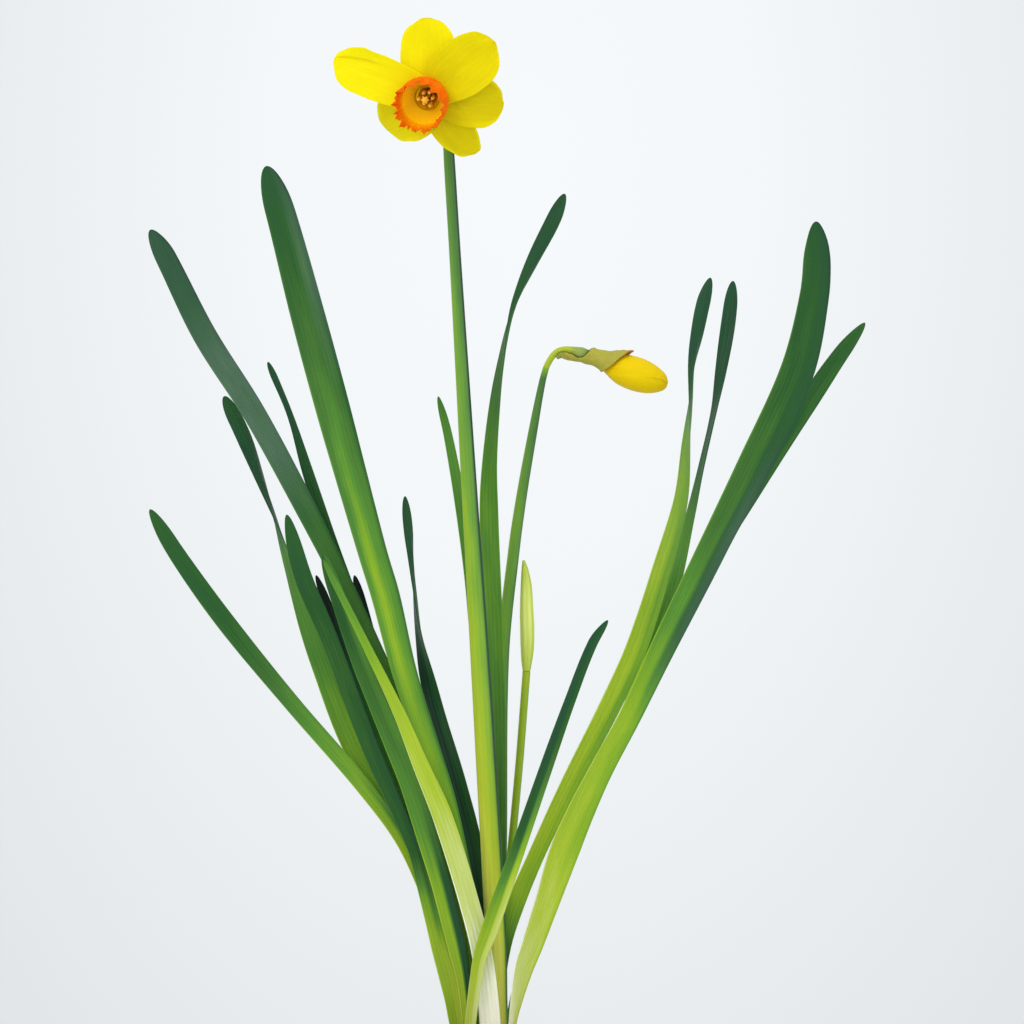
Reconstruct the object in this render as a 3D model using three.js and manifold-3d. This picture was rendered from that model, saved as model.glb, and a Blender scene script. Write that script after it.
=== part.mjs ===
// Potted daffodil: an open yellow bloom with an orange cup, a nodding yellow bud, a young green bud
// and a fan of strap leaves, growing from a bulb in a plain clay pot filled with soil.
// Millimetres, +Z up, front towards -Y. The origin is the middle of the pot's underside.
import * as THREE from "three";
import { mergeVertices } from "three/addons/utils/BufferGeometryUtils.js";
import Module from "manifold-3d";

const wasm = await Module();
wasm.setup();

// Pot
const POT_HEIGHT = 104;
const POT_BASE_RADIUS = 41;
const POT_RIM_RADIUS = 62;
const POT_WALL = 5;
const POT_FLOOR = 6;
const RIM_BAND = 21;
const RIM_STEP = 3.5;
const RIM_SLOPE = 1.5; // how much narrower the rim band is at its foot
const EDGE_ROUND = 1.2;
const DRAIN_RADIUS = 5;
const DRAIN_RING = 24;
const DRAIN_COUNT = 3;
const DRAIN_TURN = 0.25; // how far round the first drain hole is, as a part of their spacing
const DRAIN_SIDES = 12;
const POT_SIDES = 40;

// Soil and bulb
const FIT = 0.3; // gap that touching pieces keep
const SOIL_TOP = 92;
const SOIL_CRUMB = 1.1; // height of the soil's lumps
const SOIL_RINGS = 8;
const SOIL_SIDES = 32;
const ROOT_LINE = 80; // where leaves and stems start, inside the bulb
const NECK_TOP = 97; // top of the bulb's neck
const FREE_LINE = 98; // leaves and stems are upright up to here
const SLOT_TOP = 107; // the slots are cut up to here, past the neck
const HOLE_SIDES = 12;
const BULB_SIDES = 20;

// Leaves
const LEAF_THICK_ROOT = 1.5;
const LEAF_THICK_TIP = 0.9;
const BLADE_EDGE = 0.6; // thickness at a blade's margin
const EDGE_THINNING = 0.45; // part of a blade's thickness lost at its margins
const LEAF_STEP = 27; // distance between stations along a leaf
const LEAF_COLUMNS = [-1, -0.4, 0.4, 1];
const TIP_TURNS = [30, 55, 75, 86]; // a rounded tip's stations, as angles on its arc
const REACH = 0.5; // how far each way a path's direction is read
const FAN_HEIGHT = 392;
const FAN_SPREAD = 4.5;
const FAN_POWER = 1.4;

// Where the open bloom sits, and the way it faces
const BLOOM_CENTRE = new THREE.Vector3(-22.5, -38, 462.1);
const BLOOM_FACES = new THREE.Vector3(-0.17, -0.96, -0.21).normalize();
const TUBE_LENGTH = 15;
const THROAT_RADIUS = 4.4;
const THROAT_FLOOR = -12;
const DISC_RADIUS = 7.5;

// Each leaf: its layer (depth at the soil, front is minus), the length of its rounded tip, how deep it is
// channelled, and rows of [x, height, width, turn in degrees] from the neck to the tip.
const LEAVES = {
  leaf_left_tall: {
    layer: -8.2,
    tip: 17,
    channel: 0.1,
    rows: [
      [0.8, 98, 4.4, 0],
      [-2.4, 135, 5.2, 0],
      [-10.8, 176, 6.8, 0],
      [-16.2, 198, 7.6, 0],
      [-22.9, 218, 8.4, 0],
      [-31.5, 245, 9.5, 0],
      [-38.4, 273, 10.8, 0],
      [-43.2, 289, 11, 0],
      [-51.8, 320, 12.2, 0],
      [-58.6, 345, 13.1, 0],
      [-68, 380, 13, 0],
      [-77.5, 416, 11.4, 0],
      [-83.6, 436, 10, 0],
    ],
  },
  leaf_left_high: {
    layer: -5.4,
    tip: 12,
    channel: 0.1,
    rows: [
      [-1.9, 98, 4.4, 0],
      [-4.2, 135, 5.3, 0],
      [-10.3, 176, 5.3, 0],
      [-21.3, 209, 5.3, 0],
      [-39, 246, 5.3, 0],
      [-52, 273, 6.5, 0],
      [-67.5, 304, 8, 0],
      [-88, 342, 8.7, 0],
      [-107, 372, 9.1, 0],
      [-122, 402, 8, 0],
      [-127.7, 412, 6.8, 0],
    ],
  },
  leaf_left_low: {
    layer: -2.8,
    tip: 14,
    channel: 0.1,
    rows: [
      [-9.9, 98, 4.2, 0],
      [-13.6, 135, 5.6, 0],
      [-21.7, 157, 5, 0],
      [-32, 180, 5.3, 0],
      [-47, 201, 6.1, 0],
      [-73.7, 232, 6.3, 0],
      [-99, 263, 7.2, 0],
      [-117, 288, 6.5, 0],
      [-128, 306, 5, 0],
    ],
  },
  leaf_left_twisted: {
    layer: 0,
    tip: 9,
    channel: 0.08,
    rows: [
      [-11.4, 98, 4.6, 0],
      [-14.4, 131, 4.6, 0],
      [-24, 163, 4.6, 0],
      [-35, 188, 5.3, 0],
      [-51.1, 216, 7.6, 0],
      [-63.4, 247, 6.8, 0],
      [-72, 273, 6.1, 47],
      [-76.5, 289, 6.1, 62],
      [-81.3, 304, 6.1, 92],
      [-87, 320, 6.1, 130],
      [-93, 335, 6.1, 165],
      [-99.9, 349, 5.3, 180],
    ],
  },
  leaf_left_dark: {
    layer: -5.6,
    tip: 17,
    channel: 0.12,
    rows: [
      [-10.6, 98, 4.6, 0],
      [-12.6, 117, 5.8, 0],
      [-15.1, 129, 6.6, 0],
      [-18, 139, 6, 0],
      [-20.6, 150, 5.8, 0],
      [-23.7, 162.7, 5.7, 0],
      [-28, 178, 5, 0],
      [-44.5, 216, 6.5, 0],
      [-60.4, 258, 6.8, 0],
      [-70, 281, 6.8, 0],
      [-76, 304, 5.2, 0],
    ],
  },
  leaf_left_green: {
    layer: -8.4,
    tip: 12,
    channel: 0.12,
    rows: [
      [-6.6, 98, 4, 0],
      [-7.6, 114, 4.2, 0],
      [-9.3, 129, 5.2, 0],
      [-11.3, 139, 6.8, 0],
      [-15.2, 155, 7.3, 0],
      [-17.8, 165, 7.4, 0],
      [-24.4, 187, 8, 0],
      [-29.3, 202, 7.7, 0],
      [-34.4, 215, 7.7, 0],
      [-42.7, 235, 7, 0],
      [-48, 248, 6.6, 0],
      [-55.3, 269, 6, 0],
      [-62.3, 289, 4.4, 0],
    ],
  },
  leaf_left_pale: {
    layer: -11.2,
    tip: 12,
    channel: 0.12,
    rows: [
      [1.6, 98, 8, 0],
      [-1.2, 133, 7.8, 0],
      [-6.8, 157, 7.6, 0],
      [-16.7, 189, 7.6, 0],
      [-24.7, 208, 6.2, 0],
      [-33.4, 229, 4.6, 0],
      [-47.5, 258, 3, 0],
      [-62, 287, 2.4, 0],
    ],
  },
  leaf_left_hidden: {
    layer: 2.8,
    tip: 10,
    channel: 0.1,
    rows: [
      [-9.1, 98, 3.8, 0],
      [-14, 140, 4.4, 0],
      [-17.6, 153, 4.4, 0],
      [-24.7, 176, 3.8, 0],
      [-37, 207, 3.8, 0],
      [-49, 237, 3.8, 0],
      [-57.4, 261, 3.8, 0],
      [-65, 281, 3, 0],
    ],
  },
  leaf_left_short: {
    layer: 0.2,
    tip: 10,
    channel: 0.1,
    rows: [
      [-2.7, 98, 3.4, 0],
      [-6.5, 142, 3.8, 0],
      [-15.2, 180, 4.2, 0],
      [-28.5, 218, 4.6, 0],
      [-43, 254, 4.2, 0],
      [-46.7, 267, 3.9, 0],
      [-50.4, 281, 3.4, 0],
    ],
  },
  leaf_left_thin: {
    layer: -2.6,
    tip: 8,
    channel: 0.1,
    rows: [
      [-3.4, 98, 3.8, 0],
      [-7.2, 138, 4.2, 0],
      [-15.2, 176, 4.6, 0],
      [-28.5, 216, 4.9, 0],
      [-43.7, 252, 5.3, 0],
      [-57.8, 289, 5.3, 0],
      [-68, 320, 4.3, 0],
      [-74.8, 342, 2.4, 0],
      [-83.2, 362, 2.8, 0],
    ],
  },
  leaf_middle_dark: {
    layer: 2.2,
    tip: 9,
    channel: 0.1,
    rows: [
      [0.1, 98, 3, 0],
      [-1, 138, 4, 0],
      [-4.4, 173, 7, 0],
      [-11.3, 201, 7.4, 0],
      [-20.2, 232, 6.4, 0],
      [-25.8, 258, 5.7, 68],
      [-27.7, 275, 4.9, 90],
      [-29, 289, 4.2, 118],
      [-30, 300, 3.8, 155],
      [-31.2, 311, 3.2, 165],
    ],
  },
  leaf_middle_thin: {
    layer: 5,
    tip: 9,
    channel: 0.1,
    rows: [
      [1.9, 98, 3.8, 0],
      [0.6, 157, 4.4, 0],
      [-1.2, 211, 4.8, 0],
      [-5.3, 271, 4.9, 0],
      [-9.1, 302, 4.6, 0],
      [-14.8, 334, 3.4, 0],
      [-18.6, 349, 2.6, 0],
    ],
  },
  leaf_middle_tall: {
    layer: 2.2,
    tip: 10,
    channel: 0.1,
    rows: [
      [4.9, 98, 5, 0],
      [4.5, 125, 5.2, 0],
      [4.4, 150, 5.9, 0],
      [4.2, 172, 6.2, 0],
      [3.9, 223, 6.6, 0],
      [2.3, 265, 7.2, 0],
      [0.8, 302, 7.2, 0],
      [1.1, 323, 6.5, 28],
      [3.4, 348, 5.9, 50],
      [6.1, 366, 5.7, 72],
      [8.4, 378, 5.7, 92],
      [11, 386, 5.7, 110],
      [17.7, 401, 5.7, 145],
      [24.7, 415, 5.7, 178],
      [29.6, 426, 4.8, 180],
    ],
  },
  leaf_front: {
    layer: -14,
    tip: 10,
    channel: 0.2,
    rows: [
      [-6.8, 98, 4.2, 0],
      [-3.4, 133, 4.9, 0],
      [0.8, 146, 6.5, 0],
      [11, 175, 5.7, 0],
      [23.8, 212, 4.9, 0],
      [31.3, 233, 4.2, 0],
      [39.9, 255, 3.8, 0],
      [45.8, 264, 3.2, 0],
    ],
  },
  leaf_right_inner: {
    layer: -0.8,
    tip: 10,
    channel: 0.1,
    rows: [
      [5, 98, 4.4, 0],
      [4.8, 124, 4.4, 0],
      [6.8, 140, 4.8, 0],
      [10.6, 155, 6.6, 0],
      [18.9, 175, 6.3, 0],
      [31.6, 202, 7, 0],
      [45.6, 229, 8.2, 0],
      [56.2, 252, 8.2, 0],
      [66, 282, 7.4, 0],
      [73.7, 309, 6.5, 35],
      [76, 332, 6.1, 62],
      [77.1, 347, 5.7, 90],
      [77.9, 361, 5.5, 115],
      [79.8, 372, 5.5, 146],
      [82.1, 384, 5.3, 172],
      [84.9, 394, 4.4, 180],
    ],
  },
  leaf_right_second: {
    layer: 7.8,
    tip: 10,
    channel: 0.1,
    rows: [
      [9, 98, 3, 0],
      [9.2, 110, 3, 0],
      [16.3, 142, 4.6, 0],
      [28.5, 173, 4.9, 0],
      [43, 205, 5.3, 0],
      [57, 237, 5.6, 0],
      [69.2, 271, 5.6, 0],
      [77.3, 303, 5.3, 48],
      [81.7, 322, 5.3, 68],
      [86.6, 344, 5.3, 66],
      [89.1, 358, 5.3, 38],
      [92, 378, 5.5, 0],
      [93.7, 393, 4.6, 0],
    ],
  },
  leaf_right_broad: {
    layer: -10,
    tip: 17,
    channel: 0.14,
    rows: [
      [8.9, 98, 2.8, 0],
      [9.6, 110, 3, 0],
      [11.2, 119.5, 4.6, 0],
      [13.9, 131.3, 7.1, 0],
      [16.8, 139.5, 8.1, 0],
      [23, 157.4, 9.4, 0],
      [29.5, 176.6, 11.2, 0],
      [35.5, 191, 10.4, 0],
      [43.1, 206.7, 9, 0],
      [54, 227, 8.5, 0],
      [66, 252, 9.5, 0],
      [80.9, 282, 10.8, 0],
      [88.8, 298, 11.3, 0],
      [101, 322, 12.9, 0],
      [117.4, 358, 13, 0],
      [124, 387, 11.2, 0],
      [125, 404, 10.2, 0],
      [124.6, 415, 8.6, 0],
    ],
  },
  leaf_right_outer: {
    layer: 5,
    tip: 14,
    channel: 0.1,
    rows: [
      [8.3, 98, 3.6, 0],
      [8.6, 110, 3.6, 0],
      [17.5, 146, 4.6, 0],
      [29.3, 176, 4.9, 0],
      [47.5, 214, 5.3, 0],
      [64, 249, 5.7, 0],
      [77, 275, 5.6, 0],
      [94.6, 302, 5.6, 0],
      [111.4, 329, 6.1, 0],
      [125, 351, 7.2, 0],
      [134.5, 365, 6.1, 0],
      [143.8, 377, 4.4, 0],
    ],
  },
};

// Each stem: the direction that its first radius points in, and rows of
// [x, y, height, radius across, radius front to back] from the neck upwards.
const STEMS = {
  bloom_scape: {
    across: [1, 0, 0],
    rows: [
      [4.6, -5.3, 98, 3.8, 2.7],
      [3.9, -5.3, 120, 3.9, 2.7],
      [3.4, -5.3, 142, 4, 2.8],
      [-1.1, -5.3, 223, 3.8, 2.7],
      [-6.6, -5, 312, 3, 2.3],
      [-12.2, -4.5, 404, 2.2, 2],
      [-14.4, -5, 440, 2.1, 1.9],
      [-15.2, -5.6, 454, 1.7, 1.7],
      [-15.8, -7.6, 463, 1.5, 1.5],
      [-17, -11, 467.4, 1.6, 1.6],
      [-18.3, -14.6, 467.6, 2.3, 2.3],
      [-19, -18.6, 466.6, 2.7, 2.7],
      [-19.8, -22.8, 465.4, 2.1, 2.1],
    ],
  },
  nodding_bud_scape: {
    across: [0, 1, 0],
    rows: [
      [3.9, 9.2, 98, 2.3, 2.3],
      [5.3, 13, 176, 2.3, 2.3],
      [6.1, 18.5, 250, 2.3, 2.3],
      [10.3, 22, 291, 2.2, 2.2],
      [13.3, 23.5, 312, 2, 2],
      [17.5, 25.5, 336, 1.7, 1.7],
      [20.5, 26.5, 352, 1.35, 1.35],
      [22.3, 26.8, 359.4, 1.2, 1.2],
      [24.3, 26.6, 363.4, 1.2, 1.2],
      [26.7, 26.3, 366, 1.2, 1.2],
      [29.4, 25.9, 366.8, 1.25, 1.25],
      [32.7, 25.4, 366.4, 1.6, 1.6],
      [35.8, 24.9, 365.5, 2.3, 2.3],
      [38.2, 24.5, 364.8, 2, 2],
    ],
  },
  young_bud_scape: {
    across: [0, 1, 0],
    rows: [
      [6, 13.4, 98, 1.5, 1.5],
      [6.2, 15.4, 140, 1.5, 1.5],
      [7.6, 16.2, 160, 1.5, 1.5],
      [10.4, 17, 189, 1.5, 1.5],
      [12.5, 18.4, 212, 1.5, 1.5],
      [15, 20.5, 244, 1.5, 1.5],
    ],
  },
};
const STEM_SIDES = 10;
const STEM_STEP = 30; // longest stretch between rings on a stem
const BEND_STEP = 0.35; // most turn between rings, in radians

// Tepals: direction in degrees from the right, length, width, width at the root and length of the rounded
// end as parts of those, how far the tip swings back, how far the whole tepal lies forward, and the depth of
// its lengthwise trough.
const TEPALS = [
  { angle: 158.5, length: 38.2, width: 18.2, foot: 0.78, end: 0.32, back: 2, forward: 0.5, trough: 1.6 },
  { angle: 88, length: 29.8, width: 21.6, foot: 0.75, end: 0.48, back: 3, forward: -0.5, trough: 1.2 },
  { angle: 39, length: 33.5, width: 22, foot: 0.6, end: 0.4, back: 1, forward: 0.5, trough: 1.4 },
  { angle: -8, length: 28.4, width: 19.8, foot: 0.65, end: 0.36, back: 5, forward: -0.3, trough: 1.6 },
  { angle: -56, length: 28.6, width: 15.6, foot: 0.78, end: 0.45, back: 6, forward: -1.1, trough: 1 },
  { angle: -142, length: 24, width: 23.4, foot: 1, end: 0.72, back: 9, forward: -1.6, trough: 1.2 },
];
const TEPAL_THICK = 0.8;
const TEPAL_STEPS = [0, 0.2, 0.4, 0.6, 0.8, 1]; // along the tepal, as parts of the way to its rounded end
const TEPAL_COLUMNS = [-1, -0.5, 0, 0.5, 1];
const TEPAL_WIDEST = 0.5; // where along the length it is widest
const TEPAL_BOWL = 0.4; // squared place across it where the trough crosses its mean height
const TEPAL_ROOT = 3.6; // distance from the axis at which a tepal starts
const TEPAL_SEAT = 1.1; // how far behind the throat's mouth a tepal is rooted

// Orange cup
const CUP_BASE_RADIUS = 4.8;
const CUP_RIM_RADIUS = 9;
const CUP_DEPTH = 9.2;
const CUP_WALL = 0.7;
const CUP_FOOT_WALL = 0.7; // how much thicker the wall is where it spreads from the throat
const CUP_LEAN = [-2, -2.2]; // how far the rim is off the axis
const CUP_SPREAD = 5; // how quickly the cup widens from the throat
const CUP_SIDES = 44;
const CUP_LEVELS = [0, 0.12, 0.35, 0.7, 1];
const CUP_SEAT = 0.4;
// Waves round the rim: how many, how far they reach and where they start, outwards and then forwards
const FRILLS = [
  [13, 0.6, 0],
  [5, 0.35, 1],
];
const NOTCHES = [
  [13, 0.5, 2.2],
  [3, 0.4, 0],
];

// Stamens and style
const BASE_RADIUS = 1.35;
const BASE_HEIGHT = 1.2;
const FILAMENT_RADIUS = 0.36;
const FILAMENT_RING = 0.95;
const FILAMENT_BEND = -7;
const ANTHER_LENGTH = 3.6;
const ANTHER_RADIUS = 0.7;
const STAMEN_COUNT = 6;
const STAMEN_WHORLS = [
  { reach: 2.3, middle: 1 },
  { reach: 2.9, middle: 2.6 },
];
const ANTHER_FULL = 0.6; // part of an anther that has its full radius
const STYLE = [
  [THROAT_FLOOR + FIT + BASE_HEIGHT / 2, 0.45],
  [4.6, 0.45],
  [5.4, 1.4],
  [6, 1.2],
];
const STALK_SIDES = 6;

// Closed buds: rows of [x, y, height, radius across, radius front to back]
const NODDING_PETALS = {
  across: [0, 1, 0],
  rows: [
    [39, 24.4, 364.5, 1.6, 1.6],
    [41.8, 24, 363.6, 1.7, 1.7],
    [43.8, 23.7, 362.9, 2.1, 2.1],
    [45.4, 23.4, 362, 2.9, 2.8],
    [47, 23.1, 361.1, 4.1, 3.9],
    [51.5, 22.3, 359.2, 6, 5.7],
    [57, 21.4, 357.3, 6.6, 6.3],
    [62, 20.6, 355.6, 5.9, 5.6],
    [65.5, 20.1, 354.5, 4.4, 4.2],
    [67.6, 19.8, 353.7, 2.7, 2.6],
    [68.5, 19.7, 353.4, 1.2, 1.2],
  ],
};
const YOUNG_BUD = {
  across: [0, 1, 0],
  rows: [
    [15, 20.5, 244.3, 1.4, 1.4],
    [15.1, 20.8, 247.9, 2.1, 2],
    [15.3, 21.3, 253, 2.7, 2.5],
    [15.3, 21.9, 260, 2.95, 2.7],
    [15.1, 22.5, 267, 2.85, 2.6],
    [14.9, 23.2, 276.8, 2.2, 2.1],
    [14.4, 23.7, 283, 1.4, 1.3],
    [13.9, 24, 286.6, 0.5, 0.5],
  ],
};
const BUD_SIDES = 12;
const BUD_STEP = 5;

const SHEATH_THICK = 0.62;
const SHEATH_STEPS = 16;
const SHEATH_COLUMNS = 9;
// Papery sheaths: rows of [x, y, height, radius, half angle of the wrap, middle of the wrap in degrees]
const NODDING_SHEATH = {
  across: [0, 1, 0],
  rows: [
    [25.6, 26.4, 365, 1.6, 60, 270],
    [27.6, 26.1, 366.4, 2.4, 72, 272],
    [30, 25.8, 366.8, 3.1, 76, 275],
    [33, 25.4, 366.3, 3.1, 74, 282],
    [35.8, 24.9, 365.5, 2.8, 70, 292],
    [38.2, 24.5, 364.8, 2.8, 110, 290],
    [39.6, 24.4, 364.4, 2.7, 165, 262],
    [41.8, 24, 363.6, 2.65, 172, 215],
    [43.6, 23.7, 363, 3.05, 168, 165],
    [45.2, 23.4, 362.3, 3.6, 145, 125],
    [47, 23.1, 361.5, 4.8, 110, 102],
    [49, 22.8, 360.6, 5.8, 78, 95],
    [52, 22.3, 359.6, 6.6, 34, 92],
    [53.8, 22, 359.1, 6.9, 8, 92],
  ],
};

const BLOOM_SHEATH = {
  across: [1, 0, 0],
  rows: [
    [-15, -5.4, 447, 2.4, 130, 90],
    [-15.2, -5.3, 451, 2.5, 120, 90],
    [-15.4, -5, 456, 2.8, 105, 90],
    [-16, -4.6, 463.5, 3.2, 80, 90],
    [-16.6, -3.6, 471, 3.4, 40, 90],
    [-17, -2.8, 476, 3.4, 8, 90],
  ],
};

const COLOURS = {
  clay: { color: 0xb5694a, roughness: 0.85 },
  soil: { color: 0x3d2a1e, roughness: 1 },
  bulb: { color: 0xa97c4c, roughness: 0.8 },
  leaf: { color: 0x3f7f2c, roughness: 0.5 },
  leafPale: { color: 0xa8c83a, roughness: 0.5 },
  stem: { color: 0x6fa838, roughness: 0.5 },
  tepal: { color: 0xf3e00c, roughness: 0.6 },
  cup: { color: 0xf26a10, roughness: 0.6 },
  stamen: { color: 0xf8c850, roughness: 0.7 },
  budYellow: { color: 0xf4d000, roughness: 0.5 },
  sheath: { color: 0xb8a850, roughness: 0.7 },
  budGreen: { color: 0xb5c845, roughness: 0.5 },
};

const degrees = (angle) => (angle * Math.PI) / 180;

// Depth grows with height by one rule for all leaves, so that their order front to back never changes
function fan(height) {
  const rise = Math.max(0, height - FREE_LINE) / FAN_HEIGHT;
  return 1 + FAN_SPREAD * rise ** FAN_POWER;
}

// Smooth values along rows of numbers. The start runs straight up, or along the first two rows.
function follow(rows, place, upright) {
  const knots = [0];
  for (let i = 1; i < rows.length; i++) {
    knots.push(knots[i - 1] + place(rows[i]).distanceTo(place(rows[i - 1])));
  }
  const last = rows.length - 1;
  const slope = (i, k) => {
    if (upright && i === 0) return upright[k];
    const before = Math.max(i - 1, 0);
    const after = Math.min(i + 1, last);
    return (rows[after][k] - rows[before][k]) / (knots[after] - knots[before]);
  };
  const at = (distance) => {
    if (distance < 0) return rows[0].map((value, k) => value + (upright ? upright[k] * distance : 0));
    let i = 0;
    while (i < last - 1 && knots[i + 1] < distance) i++;
    const span = knots[i + 1] - knots[i];
    const t = (distance - knots[i]) / span;
    return rows[i].map((start, k) => {
      const end = rows[i + 1][k];
      const leave = slope(i, k) * span;
      const arrive = slope(i + 1, k) * span;
      const turn = t * t * (3 - 2 * t);
      return start + (end - start) * turn + t * (1 - t) * (leave * (1 - t) - arrive * t);
    });
  };
  return { at, knots, length: knots[last] };
}

// A closed geometry from points and triangles
function closedGeometry(points, triangles) {
  const geometry = new THREE.BufferGeometry();
  const flat = points.flatMap((p) => [p.x, p.y, p.z]);
  geometry.setAttribute("position", new THREE.Float32BufferAttribute(flat, 3));
  geometry.setIndex(triangles);
  geometry.computeVertexNormals();
  return geometry;
}

// A blade from two grids of points, split into triangles alike on its front and its back
function blade(front, back) {
  const rows = front.length;
  const columns = front[0].length;
  const f = (i, j) => i * columns + j;
  const b = (i, j) => rows * columns + f(i, j);
  const triangles = [];
  const quad = (p, q, r, s) => triangles.push(p, q, r, p, r, s);
  for (let i = 0; i < rows - 1; i++) {
    for (let j = 0; j < columns - 1; j++) {
      quad(f(i, j), f(i, j + 1), f(i + 1, j + 1), f(i + 1, j));
      triangles.push(b(i, j), b(i + 1, j + 1), b(i, j + 1), b(i, j), b(i + 1, j), b(i + 1, j + 1));
    }
    quad(f(i, 0), f(i + 1, 0), b(i + 1, 0), b(i, 0));
    const right = columns - 1;
    quad(f(i, right), b(i, right), b(i + 1, right), f(i + 1, right));
  }
  for (let j = 0; j < columns - 1; j++) {
    const top = rows - 1;
    quad(f(0, j), b(0, j), b(0, j + 1), f(0, j + 1));
    quad(f(top, j), f(top, j + 1), b(top, j + 1), b(top, j));
  }
  return closedGeometry([...front.flat(), ...back.flat()], triangles);
}

// A closed round body through rings of points
function roundBody(rings) {
  const sides = rings[0].length;
  const middle = (ring) => ring.reduce((sum, p) => sum.add(p), new THREE.Vector3()).divideScalar(sides);
  const points = rings.flat();
  const bottom = points.push(middle(rings[0])) - 1;
  const top = points.push(middle(rings.at(-1))) - 1;
  const triangles = [];
  for (let j = 0; j < sides; j++) {
    const next = (j + 1) % sides;
    for (let i = 0; i < rings.length - 1; i++) {
      const low = i * sides;
      const high = low + sides;
      triangles.push(low + j, low + next, high + next, low + j, high + next, high + j);
    }
    const end = (rings.length - 1) * sides;
    triangles.push(bottom, next, j, top, end + j, end + next);
  }
  return closedGeometry(points, triangles);
}

// The ring of points around a place on a path
function ring(centre, tangent, across, radiusAcross, radiusDeep, sides) {
  const first = across.clone().addScaledVector(tangent, -across.dot(tangent)).normalize();
  const second = tangent.clone().cross(first);
  return Array.from({ length: sides }, (_, j) => {
    const angle = (2 * Math.PI * j) / sides;
    return centre
      .clone()
      .addScaledVector(first, radiusAcross * Math.cos(angle))
      .addScaledVector(second, radiusDeep * Math.sin(angle));
  });
}

function toSolid(geometry) {
  const bare = geometry.clone();
  bare.deleteAttribute("normal");
  bare.deleteAttribute("uv");
  const merged = mergeVertices(bare, 1e-3);
  return new wasm.Manifold(
    new wasm.Mesh({
      numProp: 3,
      vertProperties: merged.attributes.position.array,
      triVerts: new Uint32Array(merged.index.array),
    }),
  );
}

function toGeometry(solid) {
  const mesh = solid.getMesh();
  const geometry = new THREE.BufferGeometry();
  geometry.setAttribute("position", new THREE.BufferAttribute(mesh.vertProperties, 3));
  geometry.setIndex(new THREE.BufferAttribute(mesh.triVerts, 1));
  geometry.computeVertexNormals();
  return geometry;
}

const join = (geometries) => toGeometry(geometries.map(toSolid).reduce((sum, next) => sum.add(next)));
const cut = (geometry, tools) =>
  toGeometry(tools.map(toSolid).reduce((rest, tool) => rest.subtract(tool), toSolid(geometry)));

function mesh(name, geometry, look) {
  const made = new THREE.Mesh(
    geometry,
    new THREE.MeshStandardMaterial({ metalness: 0, ...COLOURS[look] }),
  );
  made.name = name;
  return made;
}

// A turned body whose profile of [radius, height] runs upwards round the Z axis
function turned(profile, sides) {
  const geometry = new THREE.LatheGeometry(
    profile.map(([radius, height]) => new THREE.Vector2(radius, height)),
    sides,
  );
  return geometry.rotateX(Math.PI / 2);
}

// One cross-section of a leaf: points across its front and its back
function leafSection(centre, side, front, width, thick, channel, grow = 0) {
  const face = (sign) =>
    LEAF_COLUMNS.map((u) => {
      const rise = channel * width * (u * u - 0.5);
      const half = Math.max(BLADE_EDGE / 2, (thick / 2) * (1 - EDGE_THINNING * u * u)) + grow;
      return centre
        .clone()
        .addScaledVector(side, u * (width / 2 + grow))
        .addScaledVector(front, rise + sign * half);
    });
  return [face(1), face(-1)];
}

function leafPath({ layer, rows }) {
  const place = ([x, height]) => new THREE.Vector3(x, layer * fan(height), height);
  const { at, length } = follow(rows, place, [0, 1, 0, 0]);
  const state = (distance) => {
    const [x, height, width, turn] = at(distance);
    return { centre: place([x, height]), width, turn: degrees(turn) };
  };
  return { state, length };
}

function leafGeometry(leaf) {
  const { state, length } = leafPath(leaf);
  const body = length - leaf.tip;
  const steps = Math.round(body / LEAF_STEP);
  const stations = [[ROOT_LINE - FREE_LINE, 1]];
  for (let i = 0; i <= steps; i++) stations.push([(body * i) / steps, 1]);
  for (const angle of TIP_TURNS.map(degrees)) {
    stations.push([body + leaf.tip * Math.sin(angle), Math.cos(angle)]);
  }
  const fronts = [];
  const backs = [];
  for (const [distance, scale] of stations) {
    const { centre, width, turn } = state(distance);
    const ahead = state(Math.min(distance + REACH, length)).centre;
    const tangent = ahead.sub(state(distance - REACH).centre).normalize();
    const flat = new THREE.Vector3(0, 1, 0).cross(tangent).normalize();
    const facing = flat.clone().cross(tangent);
    const side = flat.clone().multiplyScalar(Math.cos(turn)).addScaledVector(facing, Math.sin(turn));
    const front = side.clone().cross(tangent);
    const thick = THREE.MathUtils.lerp(LEAF_THICK_ROOT, LEAF_THICK_TIP, Math.max(0, distance) / length);
    const [f, b] = leafSection(centre, side, front, width * scale, thick, leaf.channel);
    fronts.push(f);
    backs.push(b);
  }
  return blade(fronts, backs);
}

// The slot that a leaf stands in
function leafSlot(leaf) {
  const [x, , width] = leaf.rows[0];
  const side = new THREE.Vector3(1, 0, 0);
  const front = new THREE.Vector3(0, -1, 0);
  const sections = [ROOT_LINE - FIT, SLOT_TOP].map((height) => {
    const centre = new THREE.Vector3(x, leaf.layer, height);
    return leafSection(centre, side, front, width, LEAF_THICK_ROOT, leaf.channel, FIT);
  });
  return blade(sections.map(([f]) => f), sections.map(([, b]) => b));
}

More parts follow.
